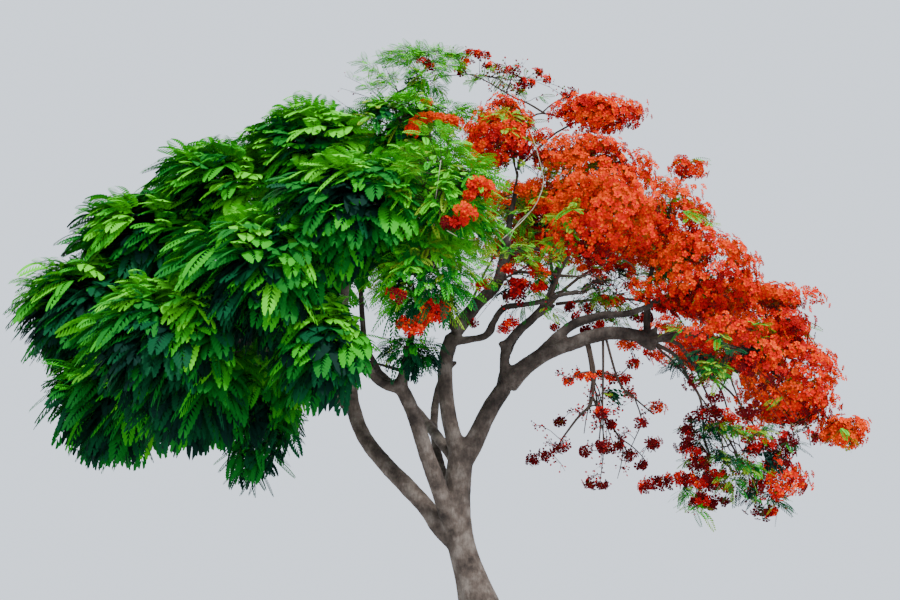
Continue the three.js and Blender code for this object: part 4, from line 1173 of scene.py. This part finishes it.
# The bark's lumps and furrows: noise by its scale across the wood, up the wood, and its share.
LUMPS = ((6, 3.5, 1), (15, 8, 0.5))
FURROWS = ((32, 7, 1), (60, 24, 0.5))
FURROW_LEVEL = 0.3
# A scar's raised ring and its hollow: their breadth and height in shares of its radius.
RING = (0.45, 0.2)
HOLLOW = (0.6, 0.22)


def sweep(bm, curve, radius_at, sides, steps, sink=0.0):
    """A closed limb: a disc at the root whose face is extruded from station to station."""
    bmesh.ops.create_circle(bm, cap_ends=True, segments=sides, radius=1)
    bm.faces.ensure_lookup_table()
    face = bm.faces[-1]
    square = Matrix.Identity(4)
    side = np.array((0.0, 1.0, 0.0))
    for k in range(steps + 1):
        t = k / steps
        way = tangent(curve, min(max(t, CURVE_STEP), 1 - CURVE_STEP))[0]
        side = unit(side - way * (side @ way))
        middle = along(curve, t)[0] - (way * sink if k == 0 else 0)
        placed = Matrix((*zip(np.cross(side, way), side, way, middle), (0, 0, 0, 1)))
        if k:
            grown = bmesh.ops.extrude_face_region(bm, geom=[face])["geom"]
            face = next(g for g in grown if isinstance(g, bmesh.types.BMFace))
        back = square.inverted()
        for vert in face.verts:
            flat = back @ vert.co
            angle = math.atan2(flat.x, flat.y)
            radius = radius_at(t, angle, max(middle[2], 0))
            vert.co = placed @ Vector((math.sin(angle) * radius, math.cos(angle) * radius, 0))
        square = placed
    return face


def collared(name, settings):
    """A bough's radius law, with a collar that dies out along its first stretch."""
    curve = limb_curves()[name]
    length = np.linalg.norm(np.diff(curve, axis=0), axis=1).sum()
    reach = COLLAR_REACH * bough_radius(name, 0)

    def radius_at(t, angle, height):
        collar = settings.collar * math.exp(-(t * length / reach) ** 2)
        end = math.sqrt(max(BLUNT_END, 1 - max(0, (t - (1 - ROUNDED)) / ROUNDED) ** 2))
        return bough_radius(name, t) * (1 + collar) * end

    return radius_at, length


def layered(place, layers, form=float):
    """Layers of noise over each other at a place."""
    x, y, z = place
    return sum(share * form(noise.noise((x * across, y * across, z * up)))
               for across, up, share in layers)


def bark_relief(mesh, settings):
    """Lumps, furrows that run up the wood and ringed scars, as real relief."""
    count = len(mesh.vertices)
    places, normals = np.empty(count * 3), np.empty(count * 3)
    mesh.vertices.foreach_get("co", places)
    mesh.vertices.foreach_get("normal", normals)
    places, normals = places.reshape(-1, 3), normals.reshape(-1, 3)
    lumps = np.array([layered(place, LUMPS) for place in places])
    furrows = np.array([layered(place, FURROWS, abs) for place in places])
    rise = settings.relief * lumps - settings.furrow * (furrows - FURROW_LEVEL)
    curves = limb_curves()
    for name, at, facing, radius in SCARS:
        side = leg_end(0, (1, facing, 0))
        way = tangent(curves[name], at)[0]
        side = unit(side - way * (side @ way))
        spot = along(curves[name], at)[0] + side * bough_radius(name, at)
        gap = np.linalg.norm(places - spot, axis=1)
        ring = np.exp(-((gap - radius) / (RING[0] * radius)) ** 2)
        hollow = np.exp(-(gap / (HOLLOW[0] * radius)) ** 2)
        rise += radius * (RING[1] * ring - HOLLOW[1] * hollow)
    places += normals * rise[:, None]
    mesh.vertices.foreach_set("co", places.ravel())
    mesh.update()


def swept_limbs(settings):
    """The trunk, the boughs and the thick shoots as closed limbs that run into each other."""
    curves = limb_curves()
    bm = bmesh.new()
    sweep(bm, curves["trunk"], trunk_radius, TRUNK_SIDES, TRUNK_STEPS, TRUNK_SINK)
    for name in (*LIMBS, *SHOOTS):
        if name != "trunk" and bough_radius(name, 0) >= THICK_SHOOT:
            law, length = collared(name, settings)
            steps = max(FEWEST_STEPS, round(length / BOUGH_STEP))
            sweep(bm, curves[name], law, BOUGH_SIDES, steps)
    bmesh.ops.recalc_face_normals(bm, faces=bm.faces)
    mesh = bpy.data.meshes.new("bark_rough")
    bm.to_mesh(mesh)
    bm.free()
    return mesh


def one_skin(rough, settings, context):
    """One softened skin over the limbs."""
    piece = bpy.data.objects.new("bark", rough)
    context.scene.collection.objects.link(piece)
    remesh = piece.modifiers.new("skin", "REMESH")
    remesh.mode = "VOXEL"
    remesh.voxel_size = settings.voxel
    soften = piece.modifiers.new("soften", "SMOOTH")
    soften.factor = SOFTENED
    soften.iterations = SOFTENINGS
    made = piece.evaluated_get(context.evaluated_depsgraph_get())
    skin = bpy.data.meshes.new_from_object(made)
    bpy.data.objects.remove(piece)
    bpy.data.meshes.remove(rough)
    return skin


def cut_at_ground(mesh):
    """Cuts the foot flat at ground level and closes the cut."""
    bm = bmesh.new()
    bm.from_mesh(mesh)
    geometry = [*bm.verts, *bm.edges, *bm.faces]
    cut = bmesh.ops.bisect_plane(bm, geom=geometry, plane_co=(0, 0, 0), plane_no=(0, 0, 1),
                                 clear_inner=True)["geom_cut"]
    bmesh.ops.edgenet_fill(bm, edges=[g for g in cut if isinstance(g, bmesh.types.BMEdge)])
    bmesh.ops.triangulate(bm, faces=[f for f in bm.faces if len(f.verts) > 4])
    bmesh.ops.recalc_face_normals(bm, faces=bm.faces)
    bm.to_mesh(mesh)
    bm.free()


class FLAMETREE_OT_bark(bpy.types.Operator):
    """Trunk, boughs and thick stubs as one skin of bark"""
    bl_idname = "flame_tree.bark"
    bl_label = "Bark"

    def execute(self, context):
        settings = context.scene.flame_tree_bark
        skin = one_skin(swept_limbs(settings), settings, context)
        bark_relief(skin, settings)
        cut_at_ground(skin)
        skin.name = "bark"
        skin.materials.append(bark_material(settings))
        skin.polygons.foreach_set("use_smooth", np.ones(len(skin.polygons), bool))
        finished(bpy.data.objects.new("bark", skin), LIMBS)
        return {"FINISHED"}


# Twigs

# Each size of twig: the stations along it, its sides and how far its stations stray, and the
# radii at its root and tip.
STEM_TUBE = (9, 8, 0.006)
TWIG_TUBE = (6, 5, 0.008)
BRANCHLET_TUBE = (4, 3, 0.005)
SHOOT_TUBE = (14, 7)
TWIG_RADII = (0.0105, 0.00525)
BRANCHLET_RADII = (0.0055, 0.0025)
# The places of the twigs' materials in a mesh's list.
BARK, TWIG, WHIP = range(3)


def run_of(curve, stations, root, tip):
    """One path along a curve and its radii, from root to tip, for tubes."""
    t = np.linspace(0, 1, stations)
    return along(curve, t)[None], (root + (tip - root) * t)[None]


def wobbled(paths, rng, amount):
    """Paths whose inner stations stray a little, as wood does."""
    stray = rng.normal(0, amount, paths.shape)
    stray[:, 0] = 0
    stray[:, -1] = 0
    return paths + stray


def mass_twigs(mass):
    """A mass's stem, its first twigs and its branchlets."""
    rng = dice("twigs", mass)
    thin = mass.habit["stem"]
    stations, sides, stray = STEM_TUBE
    path, radii = run_of(mass.stem, stations, thin * mass.root_radius, thin * STEM_RADII[1])
    stem = tubes(wobbled(path, rng, stray), radii, sides)
    stations, sides, stray = TWIG_TUBE
    paths = np.array([along(twig, np.linspace(0, 1, stations)) for twig in mass.twigs])
    radii = np.linspace(*TWIG_RADII, stations) * math.sqrt(mass.share)
    twigs = tubes(wobbled(paths, rng, stray), np.broadcast_to(radii, paths.shape[:2]), sides)
    stations, sides, stray = BRANCHLET_TUBE
    paths = at_bezier(mass.branchlets, np.linspace(0, 1, stations))
    radii = np.broadcast_to(np.linspace(*BRANCHLET_RADII, stations), paths.shape[:2])
    branchlets = tubes(wobbled(paths, rng, stray), radii, sides)
    return [(*stem, BARK if thin == 1 else TWIG), (*twigs, TWIG), (*branchlets, TWIG)]


def thin_shoots():
    """The shoots that hang or stand free of the masses, among them the long pale whips."""
    stations, sides = SHOOT_TUBE
    parts = []
    for name, (_, _, (root, tip), _) in SHOOTS.items():
        if root < THICK_SHOOT:
            shoot = tubes(*run_of(limb_curves()[name], stations, root, tip), sides)
            parts.append((*shoot, WHIP if "whip" in name else TWIG))
    return parts


class FLAMETREE_OT_twigs(bpy.types.Operator):
    """The stems of the masses, their twigs and branchlets, and the thin shoots"""
    bl_idname = "flame_tree.twigs"
    bl_label = "Twigs"

    def execute(self, context):
        settings = context.scene.flame_tree_bark
        wood = [bark_material(settings), plain_material("twig", settings.twig, TWIG_FINISH),
                plain_material("whip", settings.whip, WHIP_FINISH)]
        for side in ("leaves", "bloom"):
            parts = []
            for mass in masses():
                if mass.kind == side:
                    parts += mass_twigs(mass)
            if side == "bloom":
                parts += thin_shoots()
            mesh_piece(f"{side}_twigs", *joined(parts), wood, "bark", smooth=True)
        return {"FINISHED"}


# Fronds

# A frond's parts in shares of its length. A blade's own length is taken times START + SWELL x -
# SHRINK x^POWER, where x runs from 0 at the rib's foot to 1 at its tip. Its lean off the rib is in
# degrees, and it loses LEAN_LOSS of it on the way.
RIB_RADIUS = 0.009
RIB_LENGTH = 0.97
BLADES_FROM = 0.12
BLADES_OVER = 0.85
BLADE_START = 0.66
BLADE_SWELL = 0.95
BLADE_SHRINK = 1.22
BLADE_POWER = 2.4
BLADE_SAG = 0.16
BLADE_FOLD = 0.012
BLADE_TWIST = 0.008
BLADE_WIDEST = 0.8
BLADE_LEAN = 72
LEAN_LOSS = 26
CLOSE_LAP = 1.3
EVEN_LAP = 1
OPEN_LAP = 0.7

# How the fronds stand round the last share of a branchlet, in degrees from its line, and how they
# are lifted and varied. A frond is tested at three places along it.
BACK_ALONG = 0.28
FROND_SPREAD = (28, 88)
SPREAD_VARIES = 0.12
OUTWARD = 0.6
FROND_LIFT = 0.25
LENGTH_RANGE = (0.72, 1.12)
DROOP_RANGE = (0.65, 1.35)
ROLL = 0.35
TESTED_AT = (0.3, 0.65, 1.0)
CLEAR_BY = 0.02

# Dealing out the greens as painted light and shade: how the painted light rises through the crown,
# and where each tone gives way.
CLUMPS_PER_METRE = 1.3
CLUMP_VARIES = 0.16
LIGHT_RISE = 0.18
LIGHT_ABOVE = 0.36
LIGHT_UPWARD = 0.2
LIGHT_VARIES = 0.27
DEEP_SHADE = 1.15
TONE_STEPS = (-0.85, -0.34, 0.16, 0.62)
UNDERSIDE = (-1.4, -0.85)
PATCHES_PER_METRE = 1.9
GREEN_OVER_RED = 0.6


def frond_shape(pairs, blade, lap):
    """One frond as (share along, offset across, offset up) of its length, and its triangles.

    A thin three-sided rib carries pairs of leaflet blades. Each blade is a kite folded on its own
    rib, and its far edge lies lower than its near one, so that it laps under the next. lap is a
    blade's width to the room it has: above 1 they cover each other, and below it they stand apart.
    """
    turn = np.arange(3) * FULL_TURN / 3
    verts = [(0, RIB_RADIUS * math.sin(a), RIB_RADIUS * math.cos(a)) for a in turn]
    verts.append((RIB_LENGTH, 0, 0))
    tris = [(0, 1, 3), (1, 2, 3), (2, 0, 3), (0, 2, 1)]
    half = lap * BLADES_OVER / pairs / 2
    for k in range(pairs):
        share = (k + 0.5) / pairs
        length = blade * (BLADE_START + BLADE_SWELL * share - BLADE_SHRINK * share ** BLADE_POWER)
        lean = math.radians(BLADE_LEAN - LEAN_LOSS * share)
        root = np.array((BLADES_FROM + BLADES_OVER * share, 0, 0))
        for side in (-1, 1):
            run = np.array((math.cos(lean), side * math.sin(lean), -BLADE_SAG)) * length
            wide = np.array((-math.sin(lean), side * math.cos(lean), 0)) * half
            twist = np.array((0, 0, BLADE_TWIST))
            middle = root + run * BLADE_WIDEST - (0, 0, BLADE_FOLD)
            base = len(verts)
            verts += [root, middle + wide + twist, middle - wide - twist, root + run]
            first, second = (1, 2) if side > 0 else (2, 1)
            tris += [(base, base + first, base + 3), (base, base + 3, base + second)]
    return np.array(verts, float), np.array(tris)


def place_fronds(shape, roots, ways, rolls, lengths, droops):
    """Every frond in place: each runs out along its way and droops more towards its tip."""
    t, across, over = (shape[None, :, k, None] for k in range(3))
    length = lengths[:, None, None]
    droop = droops[:, None, None]
    spine = roots[:, None] + length * (ways[:, None] * t - UP * droop * t * t / 2)
    run = unit(ways[:, None] - UP * droop * t)
    side = turned(ways, rolls)[:, None]
    return spine + length * (side * across + np.cross(side, run) * over)


def spread_ways(ends, order, count, rng):
    """Directions that spiral round each branchlet's end by the golden angle."""
    turn = order * GOLDEN_ANGLE + rng.uniform(0, ANY_TURN, len(ends))
    narrow, wide = FROND_SPREAD
    open_by = np.radians(narrow + (wide - narrow) * order / max(1, count - 1))
    open_by = open_by + rng.normal(0, SPREAD_VARIES, len(ends))
    return unit(ends * np.cos(open_by)[:, None] + turned(ends, turn) * np.sin(open_by)[:, None])


def flowering_tips(mass):
    """Which tips of a mass carry a head of flowers: those on its outside, down to its underside."""
    rng = dice("flowering", mass)
    flowering = (rng.random(len(mass.tips)) < mass.habit["flowering"]) & ~mass.deep
    flowering &= mass.height > rng.uniform(*UNDERSIDE, len(mass.tips))
    flowering &= ~(leafy_tips(mass) & (rng.random(len(mass.tips)) < GREEN_OVER_RED))
    return (flowering | mass.headed) & ~mass.sprayed


def leafy_tips(mass):
    """Which tips of a mass carry fronds: all of a leafy mass's, and green patches of the others'."""
    patch = noise_at(mass.tips * PATCHES_PER_METRE)
    return ((patch >= np.quantile(patch, 1 - mass.habit["leafy"])) & ~mass.headed) | mass.sprayed


def frond_tones(mass, which, ways, rng):
    """Which green each frond takes: painted light, bright on top and outside, and painted shade, near
    black deep inside.
    """
    clump = noise_at(mass.tips * CLUMPS_PER_METRE) + rng.normal(0, CLUMP_VARIES, len(mass.tips))
    crown = (mass.tips[:, 2] - HEART[2]) * LIGHT_RISE
    light = LIGHT_ABOVE * mass.out[:, 2] + crown + clump + mass.habit["light"] + mass.tint
    varied = rng.normal(0, LIGHT_VARIES, len(which))
    light = light[which] + LIGHT_UPWARD * ways[:, 2] + varied
    light = np.where(mass.deep[which], light - DEEP_SHADE, light)
    return np.digitize(light, TONE_STEPS)


def mass_fronds(mass, kinds, names):
    """A mass's fronds, joined: full ones outside and simple ones deep inside."""
    settings = bpy.context.scene.flame_tree_fronds
    habit, rng = mass.habit, dice("fronds", mass)
    number = np.where(leafy_tips(mass), habit["fronds"], 0)
    which = np.repeat(np.arange(len(mass.tips)), number)
    if len(which) == 0:
        return None
    order = np.concatenate([np.arange(n) for n in number])
    share = 1 - BACK_ALONG * order / habit["fronds"]
    roots = at_bezier(mass.branchlets[which], share[:, None])[:, 0]
    ways = spread_ways(mass.ends[which], order, habit["fronds"], rng)
    flow = unit(mass.tips[which] - HEART) + OUTWARD * mass.out[which]
    ways = ways + habit["pull"] * unit(flow) + UP * FROND_LIFT
    ways = unit(ways * (1, 1, habit["level"]))
    lengths = settings.length * habit["length"] * rng.uniform(*LENGTH_RANGE, len(which))
    droops = habit["droop"] * rng.uniform(*DROOP_RANGE, len(which))
    rolls = rng.normal(0, ROLL, len(which))
    shares = np.array(TESTED_AT)[None, :, None]
    bent = ways[:, None] * shares - UP * droops[:, None, None] * shares ** 2 / 2
    line = roots[:, None] + lengths[:, None, None] * bent
    keep = clear_of_limbs(line, CLEAR_BY) & in_the_box(line).all(1)
    keep &= mass.holds(line[:, 2], OVERHANG)
    tones = frond_tones(mass, which, ways, rng)
    olive = rng.random(len(which)) < habit["olive"]
    tones = np.where(olive & (tones >= names.index("middle")), names.index("olive"), tones)
    deep = mass.deep[which]
    parts = []
    for kind, chosen in ((habit["frond"], keep & ~deep), ("deep", keep & deep)):
        shape, tris = kinds[kind]
        verts = place_fronds(shape, *(a[chosen] for a in (roots, ways, rolls, lengths, droops)))
        parts.append((*join_copies(verts, tris), np.repeat(tones[chosen], len(tris))))
    return joined(parts)


class FLAMETREE_OT_fronds(bpy.types.Operator):
    """Feathery fronds, in whorls at the end of every branchlet"""
    bl_idname = "flame_tree.fronds"
    bl_label = "Fronds"

    def execute(self, context):
        settings = context.scene.flame_tree_fronds
        names = ("night", "shade", "middle", "painted_lit", "sunlit", "olive")
        greens = [plain_material(f"{n}_green", getattr(settings, n), LEAF_FINISH) for n in names]
        kinds = {
            "full": frond_shape(settings.pairs, settings.blade, CLOSE_LAP),
            "feather": frond_shape(settings.pairs, settings.feather_blade, OPEN_LAP),
            "plume": frond_shape(settings.plume_pairs, settings.plume_blade, EVEN_LAP),
            "deep": frond_shape(settings.deep_pairs, settings.blade, CLOSE_LAP),
        }
        for mass in masses():
            fronds = mass_fronds(mass, kinds, names)
            if fronds:
                nodes = (mass.name,) if mass.kind == "leaves" else ()
                mesh_piece(f"{mass.name}_fronds", *fronds, greens, "foliage", nodes)
        return {"FINISHED"}


# Blossom

# A flower's parts in shares of its radius.
PETALS = 5
PETAL_ROOT = 0.05
PETAL_WIDEST = 0.66
PETAL_HALF = 0.36
PETAL_CUP = 0.3
PETAL_TIP_UP = 0.1
STANDARD_REACH = 0.85
STAMENS = 3
STAMEN_TURN = 0.4
STAMEN_ROOT = 0.06
STAMEN_HALF = 0.035
STAMEN_OUT = 0.42
STAMEN_UP = 0.75
CALYX_RADIUS = 0.16
CALYX_TOP = 0.02
CALYX_FOOT = -0.32
# A head of flowers is part of a flattened ball: 2 would be all of it. It faces along its
# branchlet, away from its mass's middle and up, by these shares.
HEAD_FACES = (0.4, 0.6, 0.45)
HEAD_PART = 1.35
HEAD_SQUASH = 0.6
HEAD_RANGE = (0.7, 1.2)
FLOWER_DEPTHS = (0.35, 1.5)
FLOWER_SIZES = (0.75, 1.12)
FLOWER_TURNS = 0.25
FLOWER_WITH_HEAD = 0.5
# How far past its mass's own space a flower may stand, unless its head is one of those listed one by
# one.
STRAY = 0.05
CLEAR_OF_WOOD = 0.03
# Dealing out the reds as painted light and shade: where each tone gives way, and how the painted
# light falls on a head and on a flower.
RED_STEPS = (-0.65, -0.2, 0.5)
HUES_PER_METRE = 1.5
RED_ABOVE = 0.45
RED_OUTSIDE = 0.5
RED_FACING = 0.25
HEAD_VARIES = 0.18
FLOWER_VARIES = 0.25
# A stalk's radius, how far back on the branchlet it starts and how far under the flower it ends.
STALK = 0.0022
STALK_ROOT = 0.02
STALK_SHORT = 0.012
# Buds and spent flowers: how many to a branchlet, where along it, how far from it and their radius.
BUDS_EACH = 3.5
BUDS_ALONG = (0.45, 1)
BUD_STALKS = (0.03, 0.11)
BUD_SIZES = (0.008, 0.017)
BUD_LONG = 1.2
BUD_GREEN = (0.10, 0.14, 0.02)
# Their stalks turn away from the mass's middle and up by these shares.
BUD_AWAY = 0.6
BUD_UP = 0.2
# A habit less red than this has no green buds.
NO_GREEN_BELOW = -0.5


def flower_shape():
    """One open flower of unit radius that faces +Z, its triangles and which colour each takes.

    Five petals, each a kite cupped along its middle and the fifth golden, three long stamens and a
    pointed calyx.
    """
    verts, tris, parts = [], [], []
    for k in range(PETALS):
        out = leg_end(0, (1, 360 * k / PETALS, 0))
        side = np.cross(UP, out)
        last = k == PETALS - 1
        reach = STANDARD_REACH if last else 1.0
        widest = out * PETAL_WIDEST * reach + UP * PETAL_CUP
        base = len(verts)
        verts += [out * PETAL_ROOT, widest - side * PETAL_HALF, widest + side * PETAL_HALF,
                  out * reach + UP * PETAL_TIP_UP]
        tris += [(base, base + 1, base + 3), (base, base + 3, base + 2)]
        parts += [1 if last else 0] * 2
    for k in range(STAMENS):
        out = leg_end(0, (1, 360 * (k + STAMEN_TURN) / STAMENS, 0))
        side = np.cross(UP, out) * STAMEN_HALF
        base = len(verts)
        verts += [out * STAMEN_ROOT + side, out * STAMEN_ROOT - side,
                  out * STAMEN_OUT + UP * STAMEN_UP]
        tris.append((base, base + 1, base + 2))
        parts.append(2)
    base = len(verts)
    verts += [leg_end(UP * CALYX_TOP, (CALYX_RADIUS, 120 * k, 0)) for k in range(3)]
    verts.append(UP * CALYX_FOOT)
    tris += [(base, base + 3, base + 1), (base + 1, base + 3, base + 2), (base + 2, base + 3, base)]
    parts += [3] * 3
    return np.array(verts), np.array(tris), np.array(parts)


def stalks(roots, tips, radius):
    """Three-sided stalks that taper from the roots to a point at the tips."""
    way = unit(tips - roots)
    side = crossing(way)
    across = np.cross(way, side)
    turn = np.arange(3) * FULL_TURN / 3
    ring = side[:, None] * np.cos(turn)[:, None] + across[:, None] * np.sin(turn)[:, None]
    verts = np.concatenate((roots[:, None] + ring * radius, tips[:, None]), 1)
    return join_copies(verts, np.array([(0, 1, 3), (1, 2, 3), (2, 0, 3), (0, 2, 1)]))


def faced(shape, places, facings, sizes, rng):
    """Copies of a shape at the places, its +Z turned to each facing and spun at random."""
    side = crossing(facings)
    lift = np.cross(facings, side)
    spin = rng.uniform(0, FULL_TURN, len(places))[:, None]
    across = side * np.cos(spin) + lift * np.sin(spin)
    over = lift * np.cos(spin) - side * np.sin(spin)
    frames = np.stack((across, over, facings), 1) * sizes[:, None, None]
    return places[:, None] + np.einsum("vk,nkc->nvc", shape, frames)


def head_of_flowers(mass, rng):
    """The flowers of a mass: their places, facings, the tip each belongs to and its light."""
    habit = mass.habit
    tips = np.flatnonzero(flowering_tips(mass))
    if len(tips) == 0:
        return None
    count = habit["flowers"]
    which = np.repeat(tips, count)
    order = np.tile(np.arange(count), len(tips))
    ahead, away, up = HEAD_FACES
    facing = unit(ahead * mass.ends[which] + away * mass.out[which] + UP * up)
    side = crossing(facing)
    lift = np.cross(side, facing)
    rise = 1 - HEAD_PART * (order + 0.5) / count
    turn = order * GOLDEN_ANGLE + np.repeat(rng.uniform(0, ANY_TURN, len(tips)), count)
    level = np.sqrt(np.maximum(0, 1 - rise * rise))
    out = (facing * rise[:, None] + side * (level * np.cos(turn))[:, None]
           + lift * (level * np.sin(turn))[:, None]) * (1, 1, HEAD_SQUASH)
    spread = habit["head"] * np.repeat(rng.uniform(*HEAD_RANGE, len(tips)), count)
    spread = spread * rng.uniform(*FLOWER_DEPTHS, len(which))
    places = mass.tips[which] + out * spread[:, None]
    facings = unit(out + FLOWER_WITH_HEAD * facing + rng.normal(0, FLOWER_TURNS, out.shape))
    light = RED_ABOVE * mass.height[which] + RED_OUTSIDE * out[:, 2] + RED_FACING * rise
    light = light + habit["red"] + mass.tint[which]
    patch = noise_at(mass.tips[tips] * HUES_PER_METRE) + rng.normal(0, HEAD_VARIES, len(tips))
    light = light + np.repeat(patch, count)
    light = light + rng.normal(0, FLOWER_VARIES, len(which))
    return places, facings, which, light


class FLAMETREE_OT_blossom(bpy.types.Operator):
    """Heads of flowers at the branchlets' tips, each flower on its own stalk"""
    bl_idname = "flame_tree.blossom"
    bl_label = "Blossom"

    def execute(self, context):
        settings = context.scene.flame_tree_blossom
        names = ("scarlet", "orange", "crimson", "wine", "gold", "calyx")
        reds = [plain_material(f"{n}_petals", getattr(settings, n), PETAL_FINISH) for n in names]
        scarlet, orange, crimson, wine, gold, calyx = range(len(names))
        shape, tris, kinds = flower_shape()
        for mass in masses():
            rng = dice("blossom", mass)
            heads = head_of_flowers(mass, rng)
            if heads is None:
                if mass.kind == "bloom":
                    raise RuntimeError(f"{mass.name} has no flowers")
                continue
            places, _, which, _ = heads
            keep = clear_of_limbs(places[:, None], CLEAR_OF_WOOD) & in_the_box(places)
            strays = np.linalg.norm((places - mass.centre) / (mass.size + STRAY), axis=1) > 1
            keep &= ~strays | mass.headed[which]
            places, facings, which, light = (a[keep] for a in heads)
            sizes = settings.flower * rng.uniform(*FLOWER_SIZES, len(places))
            verts = faced(shape, places, facings, sizes, rng)
            # Each flower's petals take their painted light and shade from its light; a shaded flower's
            # standard petal takes the same painted shade in place of gold.
            petal = np.array((wine, crimson, scarlet, orange))[np.digitize(light, RED_STEPS)]
            standard = np.where(petal >= crimson, petal, gold)
            stamen, sepal = np.full(len(petal), crimson), np.full(len(petal), calyx)
            slots = np.stack((petal, standard, stamen, sepal), 1)[:, kinds].ravel()
            roots = mass.tips[which] - mass.ends[which] * STALK_ROOT
            parts = [(*join_copies(verts, tris), slots),
                     (*stalks(roots, places - facings * STALK_SHORT, STALK), calyx)]
            nodes = (mass.name,) if mass.kind == "bloom" else ()
            mesh_piece(f"{mass.name}_blossom", *joined(parts), reds, "blossom", nodes)
        return {"FINISHED"}


class FLAMETREE_OT_buds(bpy.types.Operator):
    """Round buds and spent flowers on short stalks along the branchlets"""
    bl_idname = "flame_tree.buds"
    bl_label = "Buds"

    def execute(self, context):
        settings = context.scene.flame_tree_blossom
        tones = {"wine": settings.wine, "red": settings.crimson, "green": BUD_GREEN}
        colours = [plain_material(f"bud_{name}", tone, BUD_FINISH) for name, tone in tones.items()]
        ball = np.array(((1, 0, 0), (0, 1, 0), (-1, 0, 0), (0, -1, 0), (0, 0, BUD_LONG),
                         (0, 0, -BUD_LONG)))
        faces = np.array([(k, (k + 1) % 4, 4) for k in range(4)]
                         + [((k + 1) % 4, k, 5) for k in range(4)])
        parts = []
        for mass in masses():
            rng = dice("buds", mass)
            count = round(mass.habit["buds"] * BUDS_EACH * len(mass.tips))
            if count == 0:
                continue
            which = rng.integers(0, len(mass.tips), count)
            share = rng.uniform(*BUDS_ALONG, count)
            roots = at_bezier(mass.branchlets[which], share[:, None])[:, 0]
            stray = rng.normal(0, 1, (count, 3))
            ways = unit(stray + mass.out[which] * BUD_AWAY + UP * BUD_UP)
            places = roots + ways * rng.uniform(*BUD_STALKS, count)[:, None]
            verts = faced(ball, places, ways, rng.uniform(*BUD_SIZES, count), rng)
            kinds = rng.integers(0, 3 if mass.habit["red"] > NO_GREEN_BELOW else 2, count)
            parts.append((*join_copies(verts, faces), np.repeat(kinds, len(faces))))
            parts.append((*stalks(roots, places, STALK), 0))
        mesh_piece("buds", *joined(parts), colours, "blossom")
        return {"FINISHED"}


# Stage

FLOOR_SIDES = 96
FLOOR_COLOUR = (0.78, 0.78, 0.77)
# Where the sun shines from, and how wide it is in the sky.
SUN_FROM = Vector((3.5, -5.0, 8.0))
SUN_WIDTH = math.radians(9)
# How far the camera sees, in metres, and its film's width, in millimetres.
SEES_TO = 500
FILM = 36


class FLAMETREE_OT_stage(bpy.types.Operator):
    """A pale floor, soft light from the upper right and the camera"""
    bl_idname = "flame_tree.stage"
    bl_label = "Stage"

    def execute(self, context):
        settings = context.scene.flame_tree_stage
        scene = context.scene
        bm = bmesh.new()
        bmesh.ops.create_circle(bm, cap_ends=True, segments=FLOOR_SIDES,
                                radius=settings.floor)
        mesh = bpy.data.meshes.new("floor")
        bm.to_mesh(mesh)
        bm.free()
        mesh.materials.append(plain_material("floor", FLOOR_COLOUR, FLOOR_FINISH))
        floor = bpy.data.objects.new("floor", mesh)
        scene.collection.objects.link(floor)

        world = bpy.data.worlds.new("studio")
        world.use_nodes = True
        sky = world.node_tree.nodes["Background"]
        sky.inputs["Color"].default_value = (*settings.sky_colour, 1)
        sky.inputs["Strength"].default_value = settings.sky
        scene.world = world

        lamp = bpy.data.lights.new("sun", "SUN")
        lamp.energy = settings.sun
        lamp.angle = SUN_WIDTH
        sun = bpy.data.objects.new("sun", lamp)
        sun.rotation_euler = SUN_FROM.to_track_quat("Z", "Y").to_euler()
        scene.collection.objects.link(sun)

        data = bpy.data.cameras.new("camera")
        data.sensor_width = FILM
        data.lens = FILM * LENS / PICTURE[0]
        data.clip_end = SEES_TO
        camera = bpy.data.objects.new("camera", data)
        camera.location = CAMERA
        camera.rotation_euler = (math.pi / 2 + LOOKS_UP, 0, 0)
        scene.collection.objects.link(camera)
        scene.camera = camera
        return {"FINISHED"}


class FLAMETREE_PT_panel(bpy.types.Panel):
    """Lists the tree's pieces and their settings"""
    bl_idname = "FLAMETREE_PT_panel"
    bl_label = "Flame Tree"
    bl_space_type = "VIEW_3D"
    bl_region_type = "UI"
    bl_category = "Flame Tree"

    def draw(self, context):
        for operator in OPERATORS:
            self.layout.operator(operator.bl_idname)
        for name in SETTINGS:
            group = getattr(context.scene, name)
            box = self.layout.box()
            for key in group.__annotations__:
                box.prop(group, key)


OPERATORS = (FLAMETREE_OT_stage, FLAMETREE_OT_bark, FLAMETREE_OT_twigs, FLAMETREE_OT_fronds,
             FLAMETREE_OT_blossom, FLAMETREE_OT_buds)
SETTINGS = {
    "flame_tree_bark": FlameTreeBark, "flame_tree_fronds": FlameTreeFronds,
    "flame_tree_blossom": FlameTreeBlossom, "flame_tree_stage": FlameTreeStage,
}


def register():
    for cls in (*SETTINGS.values(), *OPERATORS, FLAMETREE_PT_panel):
        bpy.utils.register_class(cls)
    for name, cls in SETTINGS.items():
        setattr(bpy.types.Scene, name, PointerProperty(type=cls))


def unregister():
    for name in SETTINGS:
        delattr(bpy.types.Scene, name)
    for cls in reversed((*SETTINGS.values(), *OPERATORS, FLAMETREE_PT_panel)):
        bpy.utils.unregister_class(cls)


def main():
    """Registers the add-on and makes every piece."""
    register()
    bpy.ops.flame_tree.stage()
    bpy.ops.flame_tree.bark()
    bpy.ops.flame_tree.twigs()
    bpy.ops.flame_tree.fronds()
    bpy.ops.flame_tree.blossom()
    bpy.ops.flame_tree.buds()


if __name__ == "__main__":
    main()
